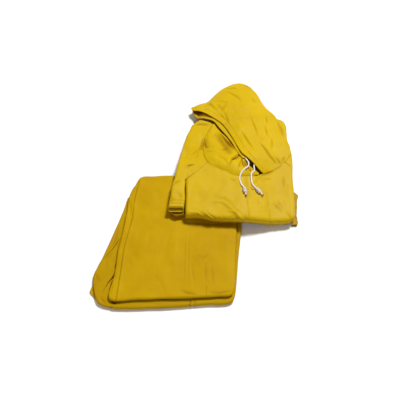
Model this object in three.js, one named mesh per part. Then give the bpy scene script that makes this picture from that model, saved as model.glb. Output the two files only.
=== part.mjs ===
import * as THREE from 'three';

// Rain suit, folded: a hooded jacket lying over the far right corner of a pair of folded trousers.
// Millimetres. x runs to the right, y away from the near folds, z up from the table.

// Cloth and gaps
const clothWall = 1.2;
const seamGap = 0.35;
const layerGap = 0.45;
const coreGap = 2.4;
const stackGap = 1.8;
const coreInset = clothWall + coreGap;

// Trousers: two bundles, one on the other
const lowerBundleTop = 14;
const upperBundleTop = 30;
const lowerFoldRadius = 5.9;
const upperFoldRadius = 7.4;

// Jacket: one stack that slopes off the trousers on to the table
const jacketBaseOnTrousers = 30.5;
const jacketThickness = 38;
const shoulderThinning = 8;
const nearFoldRadius = 18.5;
const sideFoldRadius = 11;
const slopeStart = { x: 130, y: 93 };
const slopeLength = { x: 156, y: 142 };

// Sleeve, hood and trimmings
const sleeveHeight = 16.5;
const cuffSlant = 13;
const casingWidth = 22;
const casingFold = 1.9;
const flapLift = clothWall + 0.6;
const cordRadius = 2.5;
const studRadius = 7.5;

// Colours
const cloth = (color) => new THREE.MeshStandardMaterial({ color, roughness: 0.5, metalness: 0 });
const jacketCloth = cloth(0xe0bb22);
const trouserCloth = cloth(0xcda31a);
const hiddenCloth = cloth(0x9c7a14);
const insideCloth = cloth(0xb98f1c);
const ropeWhite = new THREE.MeshStandardMaterial({ color: 0xe4e2ea, roughness: 0.8, metalness: 0 });

const suit = new THREE.Group();

// Interpolation
const mix = (a, b, t) => a + (b - a) * t;
const clamp = (value, low, high) => Math.min(high, Math.max(low, value));
const ease = (t) => {
  const s = clamp(t, 0, 1);
  return s * s * (3 - 2 * s);
};
const spread = (count, from = 0, to = 1) =>
  Array.from({ length: count + 1 }, (unused, i) => mix(from, to, i / count));

// A row of a table at a fractional index, each column on a smooth or a straight line between rows
function rowAt(table, position, smooth = true) {
  const last = table.length - 1;
  const index = clamp(Math.floor(position), 0, last - 1);
  const t = position - index;
  const rows = [index - 1, index, index + 1, index + 2].map((i) => table[clamp(i, 0, last)]);
  const result = {};
  for (const column of Object.keys(table[0])) {
    const [a, b, c, d] = rows.map((row) => row[column]);
    const square = 2 * a - 5 * b + 4 * c - d;
    const cube = 3 * b - a - 3 * c + d;
    const bend = 2 * b + (c - a) * t + square * t * t + cube * t ** 3;
    result[column] = smooth ? bend / 2 : mix(b, c, t);
  }
  return result;
}

// One closed mesh from points and triangles, turned so that its faces point outwards
function closedGeometry(points, triangles) {
  const volume = triangles.reduce((sum, [a, b, c]) => {
    const normal = points[b].clone().cross(points[c]);
    return sum + points[a].dot(normal);
  }, 0);
  const turned = volume < 0 ? triangles.map(([a, b, c]) => [a, c, b]) : triangles;
  const coordinates = points.flatMap((p) => p.toArray());
  const geometry = new THREE.BufferGeometry();
  geometry.setAttribute('position', new THREE.Float32BufferAttribute(coordinates, 3));
  geometry.setIndex(turned.flat());
  geometry.computeVertexNormals();
  return geometry;
}

// A solid from rings of equally many points, closed by a point at each end
function ringSolid(firstPoint, rings, lastPoint) {
  const size = rings[0].length;
  const points = [firstPoint, ...rings.flat(), lastPoint];
  const end = points.length - 1;
  const at = (ring, i) => 1 + ring * size + (i % size);
  const triangles = [];
  for (let i = 0; i < size; i += 1) {
    triangles.push([0, at(0, i), at(0, i + 1)]);
    triangles.push([end, at(rings.length - 1, i + 1), at(rings.length - 1, i)]);
    for (let ring = 0; ring + 1 < rings.length; ring += 1) {
      triangles.push([at(ring, i), at(ring + 1, i), at(ring + 1, i + 1)]);
      triangles.push([at(ring, i), at(ring + 1, i + 1), at(ring, i + 1)]);
    }
  }
  return closedGeometry(points, triangles);
}

// A wall of cloth between an outer and an inner grid of points
function wallSolid(outer, inner) {
  const rows = outer.length;
  const columns = outer[0].length;
  const points = [...outer.flat(), ...inner.flat()];
  const out = (i, j) => i * columns + j;
  const into = (i, j) => rows * columns + i * columns + j;
  const triangles = [];
  const quad = (a, b, c, d) => triangles.push([a, b, c], [a, c, d]);
  for (let i = 0; i + 1 < rows; i += 1) {
    for (let j = 0; j + 1 < columns; j += 1) {
      quad(out(i, j), out(i + 1, j), out(i + 1, j + 1), out(i, j + 1));
      quad(into(i, j), into(i, j + 1), into(i + 1, j + 1), into(i + 1, j));
    }
    quad(out(i, 0), into(i, 0), into(i + 1, 0), out(i + 1, 0));
    quad(out(i, columns - 1), out(i + 1, columns - 1), into(i + 1, columns - 1), into(i, columns - 1));
  }
  for (let j = 0; j + 1 < columns; j += 1) {
    quad(out(0, j), out(0, j + 1), into(0, j + 1), into(0, j));
    quad(out(rows - 1, j), into(rows - 1, j), into(rows - 1, j + 1), out(rows - 1, j + 1));
  }
  return closedGeometry(points, triangles);
}

// A wall from its outer grid alone, its inner face one wall along the grid's own normals
function wallFromGrid(outer, wall = clothWall, side = 1) {
  const inner = outer.map((row, i) => row.map((point, j) => {
    const before = outer[Math.max(i - 1, 0)][j];
    const after = outer[Math.min(i + 1, outer.length - 1)][j];
    const left = row[Math.max(j - 1, 0)];
    const right = row[Math.min(j + 1, row.length - 1)];
    const normal = after.clone().sub(before).cross(right.clone().sub(left)).normalize();
    return point.clone().addScaledVector(normal, wall * side);
  }));
  return wallSolid(outer, inner);
}

function addPiece(name, geometry, material) {
  const piece = new THREE.Mesh(geometry, material);
  piece.name = name;
  suit.add(piece);
  return piece;
}

// A folded form: its top, its outer edge seen from above, and the centre line of the fold round that edge
function foldedForm(edgeRows, top, centre) {
  const curve = new THREE.CatmullRomCurve3(
    edgeRows.map(({ x, y, radius }) => new THREE.Vector3(x, y, radius)), true, 'centripetal');
  const samples = 280;
  const edge = spread(samples).slice(0, -1).map((t) => curve.getPoint(t));
  const line = edge.map((point, i) => {
    const before = edge[(i + samples - 1) % samples];
    const after = edge[(i + 1) % samples];
    const along = new THREE.Vector2(after.x - before.x, after.y - before.y).normalize();
    return { x: point.x - along.y * point.z, y: point.y + along.x * point.z, radius: point.z };
  });
  const clearOfEdge = (spot) => edge.every((point) =>
    Math.hypot(point.x - spot.x, point.y - spot.y) > 0.96 * spot.radius);
  return { line: line.filter(clearOfEdge), top, centre };
}

// The nearest place on a form's fold line
function nearestFold(form, x, y) {
  let best = { distance: Infinity };
  let inside = false;
  form.line.forEach((a, i) => {
    const b = form.line[(i + 1) % form.line.length];
    const dx = b.x - a.x;
    const dy = b.y - a.y;
    const t = clamp(((x - a.x) * dx + (y - a.y) * dy) / (dx * dx + dy * dy), 0, 1);
    const foot = { x: a.x + t * dx, y: a.y + t * dy, radius: mix(a.radius, b.radius, t) };
    const distance = Math.hypot(x - foot.x, y - foot.y);
    if (distance < best.distance) best = { ...foot, distance };
    if ((a.y > y) !== (b.y > y) && x < a.x + ((y - a.y) / dy) * dx) inside = !inside;
  });
  return { ...best, inside };
}

// A point of a flat pattern laid on a form and turned down round its fold
function lay(form, [x, y], lift) {
  const foot = nearestFold(form, x, y);
  if (foot.inside || foot.distance < 1e-6) return new THREE.Vector3(x, y, form.top(x, y) + lift);
  const turn = foot.distance / foot.radius;
  const reach = (foot.radius + lift) * Math.sin(turn);
  return new THREE.Vector3(
    foot.x + ((x - foot.x) / foot.distance) * reach,
    foot.y + ((y - foot.y) / foot.distance) * reach,
    form.top(foot.x, foot.y) - foot.radius + (foot.radius + lift) * Math.cos(turn));
}

// Fractional row numbers, with the given count of steps between each two rows
const between = (counts) => {
  const steps = counts.flatMap((count, i) => spread(count).slice(0, -1).map((t) => i + t));
  return [...steps, counts.length];
};

// A panel on a form: rows of a table, each with a point on one side and a point on the other
function panel(name, material, form, table, { sides, counts, across, lift = 0, smooth = true }) {
  const places = between(counts);
  const rows = places.map((place) => rowAt(table, place, smooth));
  const flat = rows.map((row) => across.map((s) => [
    mix(row[`${sides[0]}X`], row[`${sides[1]}X`], s),
    mix(row[`${sides[0]}Y`], row[`${sides[1]}Y`], s)]));
  const lifts = places.map((place) => (typeof lift === 'function' ? lift(place) : lift));
  const outer = flat.map((row, i) => row.map((point) => lay(form, point, lifts[i])));
  const inner = flat.map((row, i) => row.map((point) => lay(form, point, lifts[i] - clothWall)));
  return addPiece(name, wallSolid(outer, inner), material);
}

// Fractions of a width, closer together at the folded ends
function foldedSpread(middle, startFold, endFold, foldSteps = 5) {
  const start = startFold > 0 ? spread(foldSteps, 0, startFold).slice(0, -1) : [];
  const end = endFold > 0 ? spread(foldSteps, 1 - endFold, 1).slice(1) : [];
  return [...start, ...spread(middle, startFold, 1 - endFold), ...end];
}

// The fold line of a form at an angle round its centre
function foldAtAngle(form, angle) {
  const { x: cx, y: cy } = form.centre;
  const ux = Math.cos(angle);
  const uy = Math.sin(angle);
  let found = null;
  form.line.forEach((a, i) => {
    const b = form.line[(i + 1) % form.line.length];
    const dx = b.x - a.x;
    const dy = b.y - a.y;
    const cross = ux * dy - uy * dx;
    const t = ((cx - a.x) * uy - (cy - a.y) * ux) / -cross;
    const far = ((a.x - cx) * dy - (a.y - cy) * dx) / cross;
    if (t < 0 || t >= 1 || far < 0 || (found && found.far > far)) return;
    const length = Math.hypot(dx, dy);
    found = {
      far,
      x: a.x + t * dx,
      y: a.y + t * dy,
      radius: mix(a.radius, b.radius, t),
      nx: dy / length,
      ny: -dx / length,
    };
  });
  return found;
}

// Rings of one tier of hidden layers: its top from the middle outwards, its round edge, then the layers below
const edgeTurns = [0.6, 1.2, 1.8, 2.5];
const layerProfile = [[0.25, 0.72], [0.65, 1], [1, 0.74]];
function tierRings(form, base, { columns, topScales, inset, layers, bulge }) {
  const spots = spread(columns).slice(0, -1).map((t) => foldAtAngle(form, t * Math.PI * 2));
  const { x: cx, y: cy } = form.centre;
  const ring = (place) => spots.map(place);
  const rings = topScales.map((scale) => ring(({ x, y }) => {
    const px = mix(cx, x, scale);
    const py = mix(cy, y, scale);
    return new THREE.Vector3(px, py, form.top(px, py) - inset);
  }));
  const lastTurn = edgeTurns.at(-1);
  for (const turn of edgeTurns) {
    rings.push(ring(({ x, y, radius, nx, ny }) => {
      const reach = (radius - inset) * Math.sin(turn);
      const z = form.top(x, y) - radius + (radius - inset) * Math.cos(turn);
      return new THREE.Vector3(x + nx * reach, y + ny * reach, z);
    }));
  }
  const lowest = Math.sin(lastTurn);
  for (let layer = 0; layer < layers; layer += 1) {
    for (const [share, fullness] of layerProfile) {
      rings.push(ring(({ x, y, radius, nx, ny }) => {
        const start = form.top(x, y) - radius + (radius - inset) * Math.cos(lastTurn);
        const depth = Math.max(start - base(x, y), 0.6);
        const drop = (layer + share) / layers;
        const free = clamp((depth - 8) / (layers * 3), 0, 1);
        const reach = (radius - inset) * mix(lowest * (0.85 - drop * 0.6), bulge * fullness, free);
        return new THREE.Vector3(x + nx * reach, y + ny * reach, start - depth * drop);
      }));
    }
  }
  return { rings, spots };
}

// Trousers: the side seam shared by the upper leg's two panels, and their outer ends, turned under
const trouserCentre = { x: -85, y: -160 };
const legRows = [
  { backX: -216, backY: 84, seamX: -210, seamY: 88, frontX: 137, frontY: 96 },
  { backX: -229, backY: 64, seamX: -213, seamY: 69, frontX: 144.5, frontY: 80 },
  { backX: -240, backY: 44, seamX: -217, seamY: 42, frontX: 144, frontY: 44 },
  { backX: -256, backY: -6, seamX: -225, seamY: -5, frontX: 140, frontY: -5 },
  { backX: -262, backY: -64, seamX: -229, seamY: -62, frontX: 136, frontY: -64 },
  { backX: -268.5, backY: -129, seamX: -237, seamY: -129, frontX: 134, frontY: -128 },
  { backX: -281, backY: -204, seamX: -251, seamY: -204, frontX: 128.5, frontY: -202 },
  { backX: -287, backY: -288, seamX: -256.5, seamY: -286, frontX: 123, frontY: -284 },
  { backX: -294, backY: -372, seamX: -263.5, seamY: -377, frontX: 114.5, frontY: -361 },
  { backX: -291, backY: -390, seamX: -265, seamY: -395, frontX: 102.5, frontY: -377.5 },
];
const legCounts = [5, 1, 1, 1, 1, 1, 1, 1, 5];
const upperBundle = foldedForm([
  { x: -286, y: -384, radius: upperFoldRadius },
  { x: -188, y: -385, radius: upperFoldRadius },
  { x: -118, y: -383, radius: upperFoldRadius },
  { x: -12, y: -379, radius: upperFoldRadius },
  { x: 58, y: -375, radius: upperFoldRadius },
  { x: 99, y: -371, radius: upperFoldRadius },
  { x: 107, y: -355, radius: upperFoldRadius },
  { x: 116, y: -242, radius: upperFoldRadius },
  { x: 124, y: -125, radius: upperFoldRadius },
  { x: 131, y: 0, radius: upperFoldRadius },
  { x: 136, y: 78, radius: upperFoldRadius },
  { x: 129, y: 90, radius: upperFoldRadius },
  { x: 0, y: 88, radius: upperFoldRadius },
  { x: -156, y: 84, radius: upperFoldRadius },
  { x: -207, y: 79, radius: upperFoldRadius },
  { x: -230, y: 42, radius: upperFoldRadius },
  { x: -246, y: 0, radius: upperFoldRadius },
  { x: -251, y: -65, radius: upperFoldRadius },
  { x: -258, y: -129, radius: upperFoldRadius },
  { x: -270, y: -200, radius: upperFoldRadius },
  { x: -276, y: -300, radius: upperFoldRadius },
], () => upperBundleTop, trouserCentre);

// Lower bundle: the other leg, wider on the left and at the near side
const lowerBundle = foldedForm([
  { x: -277, y: -407, radius: lowerFoldRadius },
  { x: -146, y: -407, radius: lowerFoldRadius },
  { x: -65, y: -403, radius: lowerFoldRadius },
  { x: 23, y: -395, radius: lowerFoldRadius },
  { x: 98, y: -389, radius: lowerFoldRadius },
  { x: 108, y: -372, radius: lowerFoldRadius },
  { x: 125, y: -234, radius: lowerFoldRadius },
  { x: 138, y: -125, radius: lowerFoldRadius },
  { x: 142, y: 0, radius: lowerFoldRadius },
  { x: 141, y: 76, radius: lowerFoldRadius },
  { x: 130, y: 86, radius: lowerFoldRadius },
  { x: 0, y: 83, radius: lowerFoldRadius },
  { x: -150, y: 79, radius: lowerFoldRadius },
  { x: -212, y: 74, radius: lowerFoldRadius },
  { x: -238, y: 48, radius: lowerFoldRadius },
  { x: -253, y: 0, radius: lowerFoldRadius },
  { x: -262, y: -40, radius: lowerFoldRadius },
  { x: -297, y: -155, radius: lowerFoldRadius },
  { x: -334, y: -266, radius: lowerFoldRadius },
  { x: -346, y: -298, radius: lowerFoldRadius },
  { x: -341, y: -345, radius: lowerFoldRadius },
  { x: -331, y: -378, radius: lowerFoldRadius },
  { x: -320, y: -394, radius: lowerFoldRadius },
], () => lowerBundleTop, trouserCentre);

// Hidden layers of both bundles in one solid, the upper tier standing on the lower
const trouserColumns = 46;
const upperTierFoot = 16.6;
const upperTier = tierRings(upperBundle, () => upperTierFoot, {
  columns: trouserColumns, topScales: [0.4, 0.8, 1], inset: coreInset, layers: 1, bulge: 0.6,
});
const lowerTier = tierRings(lowerBundle, () => 0, {
  columns: trouserColumns, topScales: [1], inset: coreInset, layers: 1, bulge: 0.6,
});
const ledge = upperTier.spots.map(({ x, y }) => new THREE.Vector3(x, y, lowerBundleTop - coreInset));
const baseRing = lowerTier.rings.at(-1);
const trouserMiddle = (z) => new THREE.Vector3(trouserCentre.x, trouserCentre.y, z);
addPiece('trousers_inner_layers', ringSolid(
  trouserMiddle(upperBundleTop - coreInset),
  [...upperTier.rings, ledge, ...lowerTier.rings,
    baseRing.map((p) => trouserMiddle(0).lerp(new THREE.Vector3(p.x, p.y, 0), 0.5))],
  trouserMiddle(0)), hiddenCloth);

panel('trousers_right_leg_front', trouserCloth, upperBundle,
  legRows.map((row) => ({ ...row, seamX: row.seamX + seamGap })),
  { sides: ['seam', 'front'], counts: legCounts, across: foldedSpread(6, 0.07, 0.053, 4) });
panel('trousers_right_leg_back', trouserCloth, upperBundle, legRows,
  { sides: ['back', 'seam'], counts: legCounts, across: foldedSpread(2, 0.6, 0, 5) });

// Lower leg: a sliver of its front, its back over that, and the turned edge round the near and right sides
panel('trousers_left_leg_front', trouserCloth, lowerBundle, [
  { outX: -261, outY: 3, inX: -247, inY: 0 },
  { outX: -271, outY: -38, inX: -249, inY: -38 },
  { outX: -284, outY: -88, inX: -251, inY: -86 },
  { outX: -305.5, outY: -158, inX: -266, inY: -150 },
  { outX: -323, outY: -206, inX: -291, inY: -200 },
  { outX: -340, outY: -256, inX: -324, inY: -244 },
], { sides: ['out', 'in'], counts: [2, 2, 2, 1, 2], across: foldedSpread(2, 0.5, 0, 5) });

panel('trousers_left_leg_back', trouserCloth, lowerBundle, [
  { outX: -258, outY: -84, inX: -250.5, inY: -80 },
  { outX: -264, outY: -136, inX: -256, inY: -134 },
  { outX: -276, outY: -179, inX: -263.5, inY: -178 },
  { outX: -303, outY: -220, inX: -269, inY: -222 },
  { outX: -334, outY: -257, inX: -271.5, inY: -260 },
  { outX: -346, outY: -276, inX: -273, inY: -284 },
  { outX: -355, outY: -300, inX: -274, inY: -306 },
  { outX: -350, outY: -350, inX: -278.5, inY: -345 },
  { outX: -334, outY: -389, inX: -284.5, inY: -377 },
  { outX: -325, outY: -401, inX: -277.5, inY: -393 },
  { outX: -292, outY: -411, inX: -264, inY: -399 },
], {
  sides: ['out', 'in'],
  counts: [1, 1, 2, 2, 2, 2, 2, 2, 2, 1],
  across: foldedSpread(3, 0.28, 0, 5),
  lift: (place) => (clothWall + layerGap) * (1 - ease((place - 4.5) / 2.5)),
});

panel('trousers_left_leg_turned_edge', trouserCloth, lowerBundle, [
  { outX: -286, outY: -415, inX: -262, inY: -391 },
  { outX: -220, outY: -415.5, inX: -216, inY: -382.5 },
  { outX: -146, outY: -415.5, inX: -146, inY: -381.5 },
  { outX: -65, outY: -413, inX: -65, inY: -379 },
  { outX: 23, outY: -405, inX: 23, inY: -374.5 },
  { outX: 88, outY: -399, inX: 84, inY: -370 },
  { outX: 106, outY: -391, inX: 101, inY: -366 },
  { outX: 118, outY: -372, inX: 105, inY: -352 },
  { outX: 127, outY: -300, inX: 110, inY: -296 },
  { outX: 135, outY: -234, inX: 114, inY: -234 },
  { outX: 148, outY: -125, inX: 121.5, inY: -125 },
  { outX: 152, outY: 0, inX: 128.5, inY: 0 },
  { outX: 151, outY: 74, inX: 133, inY: 66 },
], {
  sides: ['out', 'in'],
  counts: [2, 2, 2, 2, 2, 3, 3, 2, 1, 2, 2, 2],
  across: foldedSpread(2, 0.62, 0, 5),
  lift: clothWall + layerGap,
});

// Jacket: its underside lies on the trousers and slopes down to the table past their right and far edges
const jacketBase = (x, y) => jacketBaseOnTrousers
  * (1 - ease((x - slopeStart.x) / slopeLength.x)) * (1 - ease((y - slopeStart.y) / slopeLength.y));
const jacketTop = (x, y) => jacketBase(x, y) + jacketThickness - shoulderThinning * ease((y - 180) / 150);

// Inner edge of the right sleeve: along the raglan seam to the body's left edge, then down beside the body
const raglan = [
  { x: 27, y: 118 }, { x: 10, y: 97 }, { x: -10, y: 76 }, { x: -29, y: 58 }, { x: -48, y: 41 },
];
const valleyX = -48;
const sleeveSide = (x, y) => {
  const seamX = mix(valleyX, raglan[0].x, clamp((y - 41) / 77, 0, 1));
  return 1 - ease((x - seamX - 22) / 20);
};
const stackTop = (x, y) => jacketTop(x, y)
  - (sleeveHeight - clothWall) * sleeveSide(x, y) * (1 - ease((y - 112) / 50));
const bodySideRadius = 9;
const bodyTop = (x, y) => {
  const past = clamp((valleyX + bodySideRadius - x) / bodySideRadius, 0, 1) * (1 - ease((y - 38) / 12));
  return jacketTop(x, y) - bodySideRadius * (1 - Math.sqrt(1 - past * past * 0.98));
};

const nearAndRightEdge = [
  { x: 2, y: -98, radius: nearFoldRadius },
  { x: 45, y: -108, radius: nearFoldRadius },
  { x: 125, y: -109, radius: nearFoldRadius },
  { x: 200, y: -106, radius: nearFoldRadius },
  { x: 262, y: -102, radius: 17 },
  { x: 309, y: -95, radius: 13 },
  { x: 321, y: -80, radius: sideFoldRadius },
  { x: 324, y: -40, radius: sideFoldRadius },
  { x: 325, y: 20, radius: sideFoldRadius },
  { x: 327, y: 86, radius: sideFoldRadius },
  { x: 331, y: 150, radius: sideFoldRadius },
  { x: 327, y: 206, radius: sideFoldRadius },
  { x: 320, y: 250, radius: sideFoldRadius },
  { x: 321, y: 296, radius: sideFoldRadius },
  { x: 315, y: 330, radius: sideFoldRadius },
  { x: 290, y: 344, radius: sideFoldRadius },
];
const jacketBody = foldedForm([
  { x: -130, y: -97, radius: nearFoldRadius },
  { x: -60, y: -98, radius: nearFoldRadius },
  ...nearAndRightEdge,
  { x: 100, y: 345, radius: sideFoldRadius },
  { x: -130, y: 345, radius: sideFoldRadius },
], bodyTop, { x: 110, y: 110 });
const jacketStack = foldedForm([
  { x: -96, y: -90, radius: 8 },
  { x: -81, y: -98, radius: 8 },
  { x: -62, y: -94, radius: 8.5 },
  { x: -45, y: -91, radius: 9 },
  { x: -25, y: -91, radius: 9.5 },
  { x: -10, y: -93, radius: 13 },
  ...nearAndRightEdge,
  { x: 200, y: 342, radius: 10 },
  { x: 100, y: 342, radius: 10 },
  { x: 30, y: 332, radius: 8 },
  { x: -13, y: 302, radius: 8 },
  { x: -35, y: 262, radius: 8 },
  { x: -47, y: 207, radius: 8 },
  { x: -57, y: 150, radius: 8 },
  { x: -62, y: 112, radius: 8 },
  { x: -79, y: 80, radius: 8 },
  { x: -94, y: 10, radius: 8 },
  { x: -102, y: -44, radius: 8 },
  { x: -104, y: -78, radius: 8 },
], stackTop, { x: 110, y: 110 });

const stackTier = tierRings(jacketStack, jacketBase, {
  columns: 58,
  topScales: [0.1, 0.22, 0.36, 0.5, 0.64, 0.78, 0.9, 1],
  inset: clothWall + stackGap,
  layers: 3,
  bulge: 0.78,
});
const onBase = (x, y) => new THREE.Vector3(x, y, jacketBase(x, y));
const jacketMiddle = jacketStack.centre;
const stackFoot = stackTier.rings.at(-1);
const underRings = [0.84, 0.66, 0.48, 0.32, 0.18].map((scale) => stackFoot.map((p) =>
  onBase(mix(jacketMiddle.x, p.x, scale), mix(jacketMiddle.y, p.y, scale))));
const stackMiddleTop = stackTop(jacketMiddle.x, jacketMiddle.y) - clothWall - stackGap;
addPiece('jacket_inner_layers', ringSolid(
  new THREE.Vector3(jacketMiddle.x, jacketMiddle.y, stackMiddleTop),
  [...stackTier.rings, ...underRings],
  onBase(jacketMiddle.x, jacketMiddle.y)), hiddenCloth);

// Fronts: each column runs from the neckline, under the hood's edge, over the near fold
panel('jacket_front_right', jacketCloth, jacketBody, [
  ...raglan.slice().reverse().map(({ x, y }, i) => ({
    farX: x + 0.3, farY: y, nearX: [-47.7, -36, -22, -6, 14][i], nearY: [-116, -125, -126, -127, -129][i],
  })),
  { farX: 52, farY: 96, nearX: 44, nearY: -136.5 },
  { farX: 95, farY: 77, nearX: 86, nearY: -138 },
  { farX: 120, farY: 63, nearX: 116, nearY: -138 },
  { farX: 150, farY: 60, nearX: 148, nearY: -137.5 },
  { farX: 175, farY: 61, nearX: 174, nearY: -136.5 },
  { farX: 195.8, farY: 62, nearX: 195.8, nearY: -135.5 },
], {
  sides: ['far', 'near'],
  counts: [1, 1, 1, 2, 2, 3, 2, 2, 1, 1],
  across: foldedSpread(6, 0, 0.3, 8),
  smooth: false,
});

panel('jacket_front_left', jacketCloth, jacketBody, [
  { farX: 196.2, farY: 62, nearX: 196.2, nearY: -135.5 },
  { farX: 221, farY: 78, nearX: 219, nearY: -134 },
  { farX: 262, farY: 103, nearX: 256, nearY: -129 },
  { farX: 288, farY: 126, nearX: 280, nearY: -124 },
  { farX: 302, farY: 138, nearX: 300, nearY: -117 },
  { farX: 311, farY: 127.5, nearX: 315, nearY: -110 },
  { farX: 325, farY: 108.5, nearX: 327, nearY: -100 },
  { farX: 342, farY: 86, nearX: 335.5, nearY: -87 },
], {
  sides: ['far', 'near'],
  counts: [1, 2, 2, 2, 2, 3, 4],
  across: foldedSpread(6, 0, 0.28, 8),
  smooth: false,
});

// Storm flap over the meeting edges of the fronts, from its free edge to its row of stitches
panel('storm_flap', jacketCloth, jacketBody, [
  { freeX: 158, freeY: 51, sewnX: 228, sewnY: 68 },
  { freeX: 160, freeY: 10, sewnX: 230, sewnY: 10 },
  { freeX: 164, freeY: -60, sewnX: 234, sewnY: -60 },
  { freeX: 166, freeY: -88, sewnX: 236, sewnY: -86 },
  { freeX: 167, freeY: -137, sewnX: 237, sewnY: -132 },
], { sides: ['free', 'sewn'], counts: [3, 3, 2, 10], across: spread(4), lift: flapLift });

const studPlace = { x: 181, y: 10 };
const studHeight = (x, y) => jacketTop(x, y) + flapLift;
const studProfile = [
  [0, 0], [studRadius - 0.6, 0], [studRadius, 0.6], [studRadius - 0.4, 1.4], [4, 2.1], [0, 2.3],
];
const stud = addPiece('press_stud', new THREE.LatheGeometry(
  studProfile.map(([radius, height]) => new THREE.Vector2(radius, height)), 16), jacketCloth);
const slopeReach = 8;
const studSlope = (dx, dy) => (studHeight(studPlace.x - dx, studPlace.y - dy)
  - studHeight(studPlace.x + dx, studPlace.y + dy)) / (2 * slopeReach);
const studNormal = new THREE.Vector3(studSlope(slopeReach, 0), studSlope(0, slopeReach), 1).normalize();
stud.quaternion.setFromUnitVectors(new THREE.Vector3(0, 1, 0), studNormal);
stud.position.set(studPlace.x, studPlace.y, studHeight(studPlace.x, studPlace.y));
stud.position.addScaledVector(studNormal, layerGap);

// Right sleeve: one strip of cloth that turns round the outer fold and closes at the underarm seam
const sleeveRows = [
  { leftX: -6, leftY: 337, rightX: 58, rightY: 318, fold: 11, under: 0, close: 0 },
  { leftX: -31, leftY: 315, rightX: 52, rightY: 306, fold: 11, under: 0, close: 0 },
  { leftX: -51, leftY: 262, rightX: 24, rightY: 254, fold: 11, under: 0, close: 0 },
  { leftX: -63, leftY: 207, rightX: 17, rightY: 196, fold: 11, under: 0, close: 0 },
  { leftX: -72, leftY: 152, rightX: 20, rightY: 152, fold: 10, under: 0, close: 0 },
  { leftX: -77, leftY: 122, rightX: 27, rightY: 118, fold: 9, under: 0.03, close: 0 },
  { leftX: -80, leftY: 100, rightX: 10, rightY: 97, fold: 8.25, under: 0.2, close: 0 },
  { leftX: -84, leftY: 78, rightX: -10, rightY: 76, fold: 8.25, under: 0.5, close: 0 },
  { leftX: -87, leftY: 59, rightX: -29, rightY: 58, fold: 8.25, under: 0.8, close: 0.3 },
  { leftX: -91, leftY: 41, rightX: -48.3, rightY: 41, fold: 8.25, under: 1, close: 1 },
  { leftX: -98, leftY: 10, rightX: -50, rightY: 8, fold: 8.25, under: 1, close: 1 },
  { leftX: -104, leftY: -40, rightX: -51, rightY: -40, fold: 8.25, under: 1, close: 1 },
  { leftX: -108, leftY: -68, rightX: -54, rightY: -68, fold: 8.25, under: 1, close: 1 },
];
function sleeveSection(row, inset, slant) {
  const left = new THREE.Vector2(row.leftX, row.leftY);
  const across = new THREE.Vector2(row.rightX, row.rightY).sub(left);
  const width = across.length() - inset * 2;
  across.normalize();
  left.addScaledVector(across, inset);
  const radius = row.fold - inset;
  const rightCentre = width - radius * row.close;
  const bottomEnd = radius + (width - 2 * radius) * row.under;
  const path = [];
  for (const share of [1, 0.66, 0.33, 0]) {
    const turn = share * Math.PI / 2;
    const rolledReach = rightCentre + radius * Math.sin(turn) * row.close;
    const rolledDepth = radius * (Math.cos(turn) - 1) * row.close;
    path.push([mix(width - 9 * (1 - share), rolledReach, row.close), rolledDepth]);
  }
  path.push(...spread(4).slice(1, -1).map((t) => [mix(path[3][0], radius, t), 0]));
  for (const turn of spread(6, 0, mix(2.7, Math.PI, ease(row.under * 3)))) {
    path.push([radius - radius * Math.sin(turn), radius * (Math.cos(turn) - 1)]);
  }
  const [lastReach, lastDepth] = path.at(-1);
  const underEnd = Math.max(bottomEnd, lastReach + 3);
  path.push(...spread(3).slice(1).map((t) => [mix(lastReach, underEnd, t), lastDepth]));
  for (const share of [0.4, 0.75, 1]) {
    const turn = Math.PI - share * (Math.PI / 2 - 0.5 / radius);
    const rolled = [rightCentre + radius * Math.sin(turn), radius * (Math.cos(turn) - 1)];
    const flat = [underEnd + share * 2, lastDepth];
    path.push([mix(flat[0], rolled[0], row.close), mix(flat[1], rolled[1], row.close)]);
  }
  return path.map(([reach, depth]) => {
    const x = left.x + across.x * reach;
    const y = left.y + across.y * reach;
    return new THREE.Vector3(x, y + depth * slant / sleeveHeight, jacketTop(x, y) - inset + depth);
  });
}
const sleeveEnd = sleeveRows.length - 1;
const sleeveGrid = between([1, 2, 3, 3, 2, 1, 1, 1, 1, 2, 1, 2]).map((position) => {
  const slant = cuffSlant * ease(position - sleeveEnd + 1);
  return sleeveSection(rowAt(sleeveRows, position, false), 0, slant);
});
addPiece('jacket_sleeve_right', wallFromGrid(sleeveGrid, clothWall, 1), jacketCloth);

// Storm cuff inside the end of the right sleeve
const cuffGrid = spread(3).map((t) => {
  const row = rowAt(sleeveRows, sleeveEnd - 0.7 * (1 - t), false);
  const section = sleeveSection(row, clothWall + 0.7, cuffSlant);
  return section.map((point) => point.add(new THREE.Vector3(0, -3 * t, 0)));
});
addPiece('jacket_inner_cuff_right', wallFromGrid(cuffGrid, clothWall, 1), insideCloth);

// Left sleeve: its shoulder wraps the right edge; its lower part is folded behind and peeps out below
panel('jacket_sleeve_left', jacketCloth, jacketBody, [
  { innerX: 298, innerY: 145.5, outerX: 342.6, outerY: 86.6 },
  { innerX: 288, innerY: 170, outerX: 345, outerY: 140 },
  { innerX: 282, innerY: 210, outerX: 343, outerY: 200 },
  { innerX: 278, innerY: 250, outerX: 336, outerY: 248 },
  { innerX: 274, innerY: 290, outerX: 336, outerY: 296 },
  { innerX: 270, innerY: 318, outerX: 330, outerY: 336 },
  { innerX: 262, innerY: 334, outerX: 300, outerY: 358 },
], {
  sides: ['inner', 'outer'],
  counts: [3, 3, 2, 2, 2, 3],
  across: foldedSpread(2, 0, 0.45, 6),
  smooth: false,
});

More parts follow.
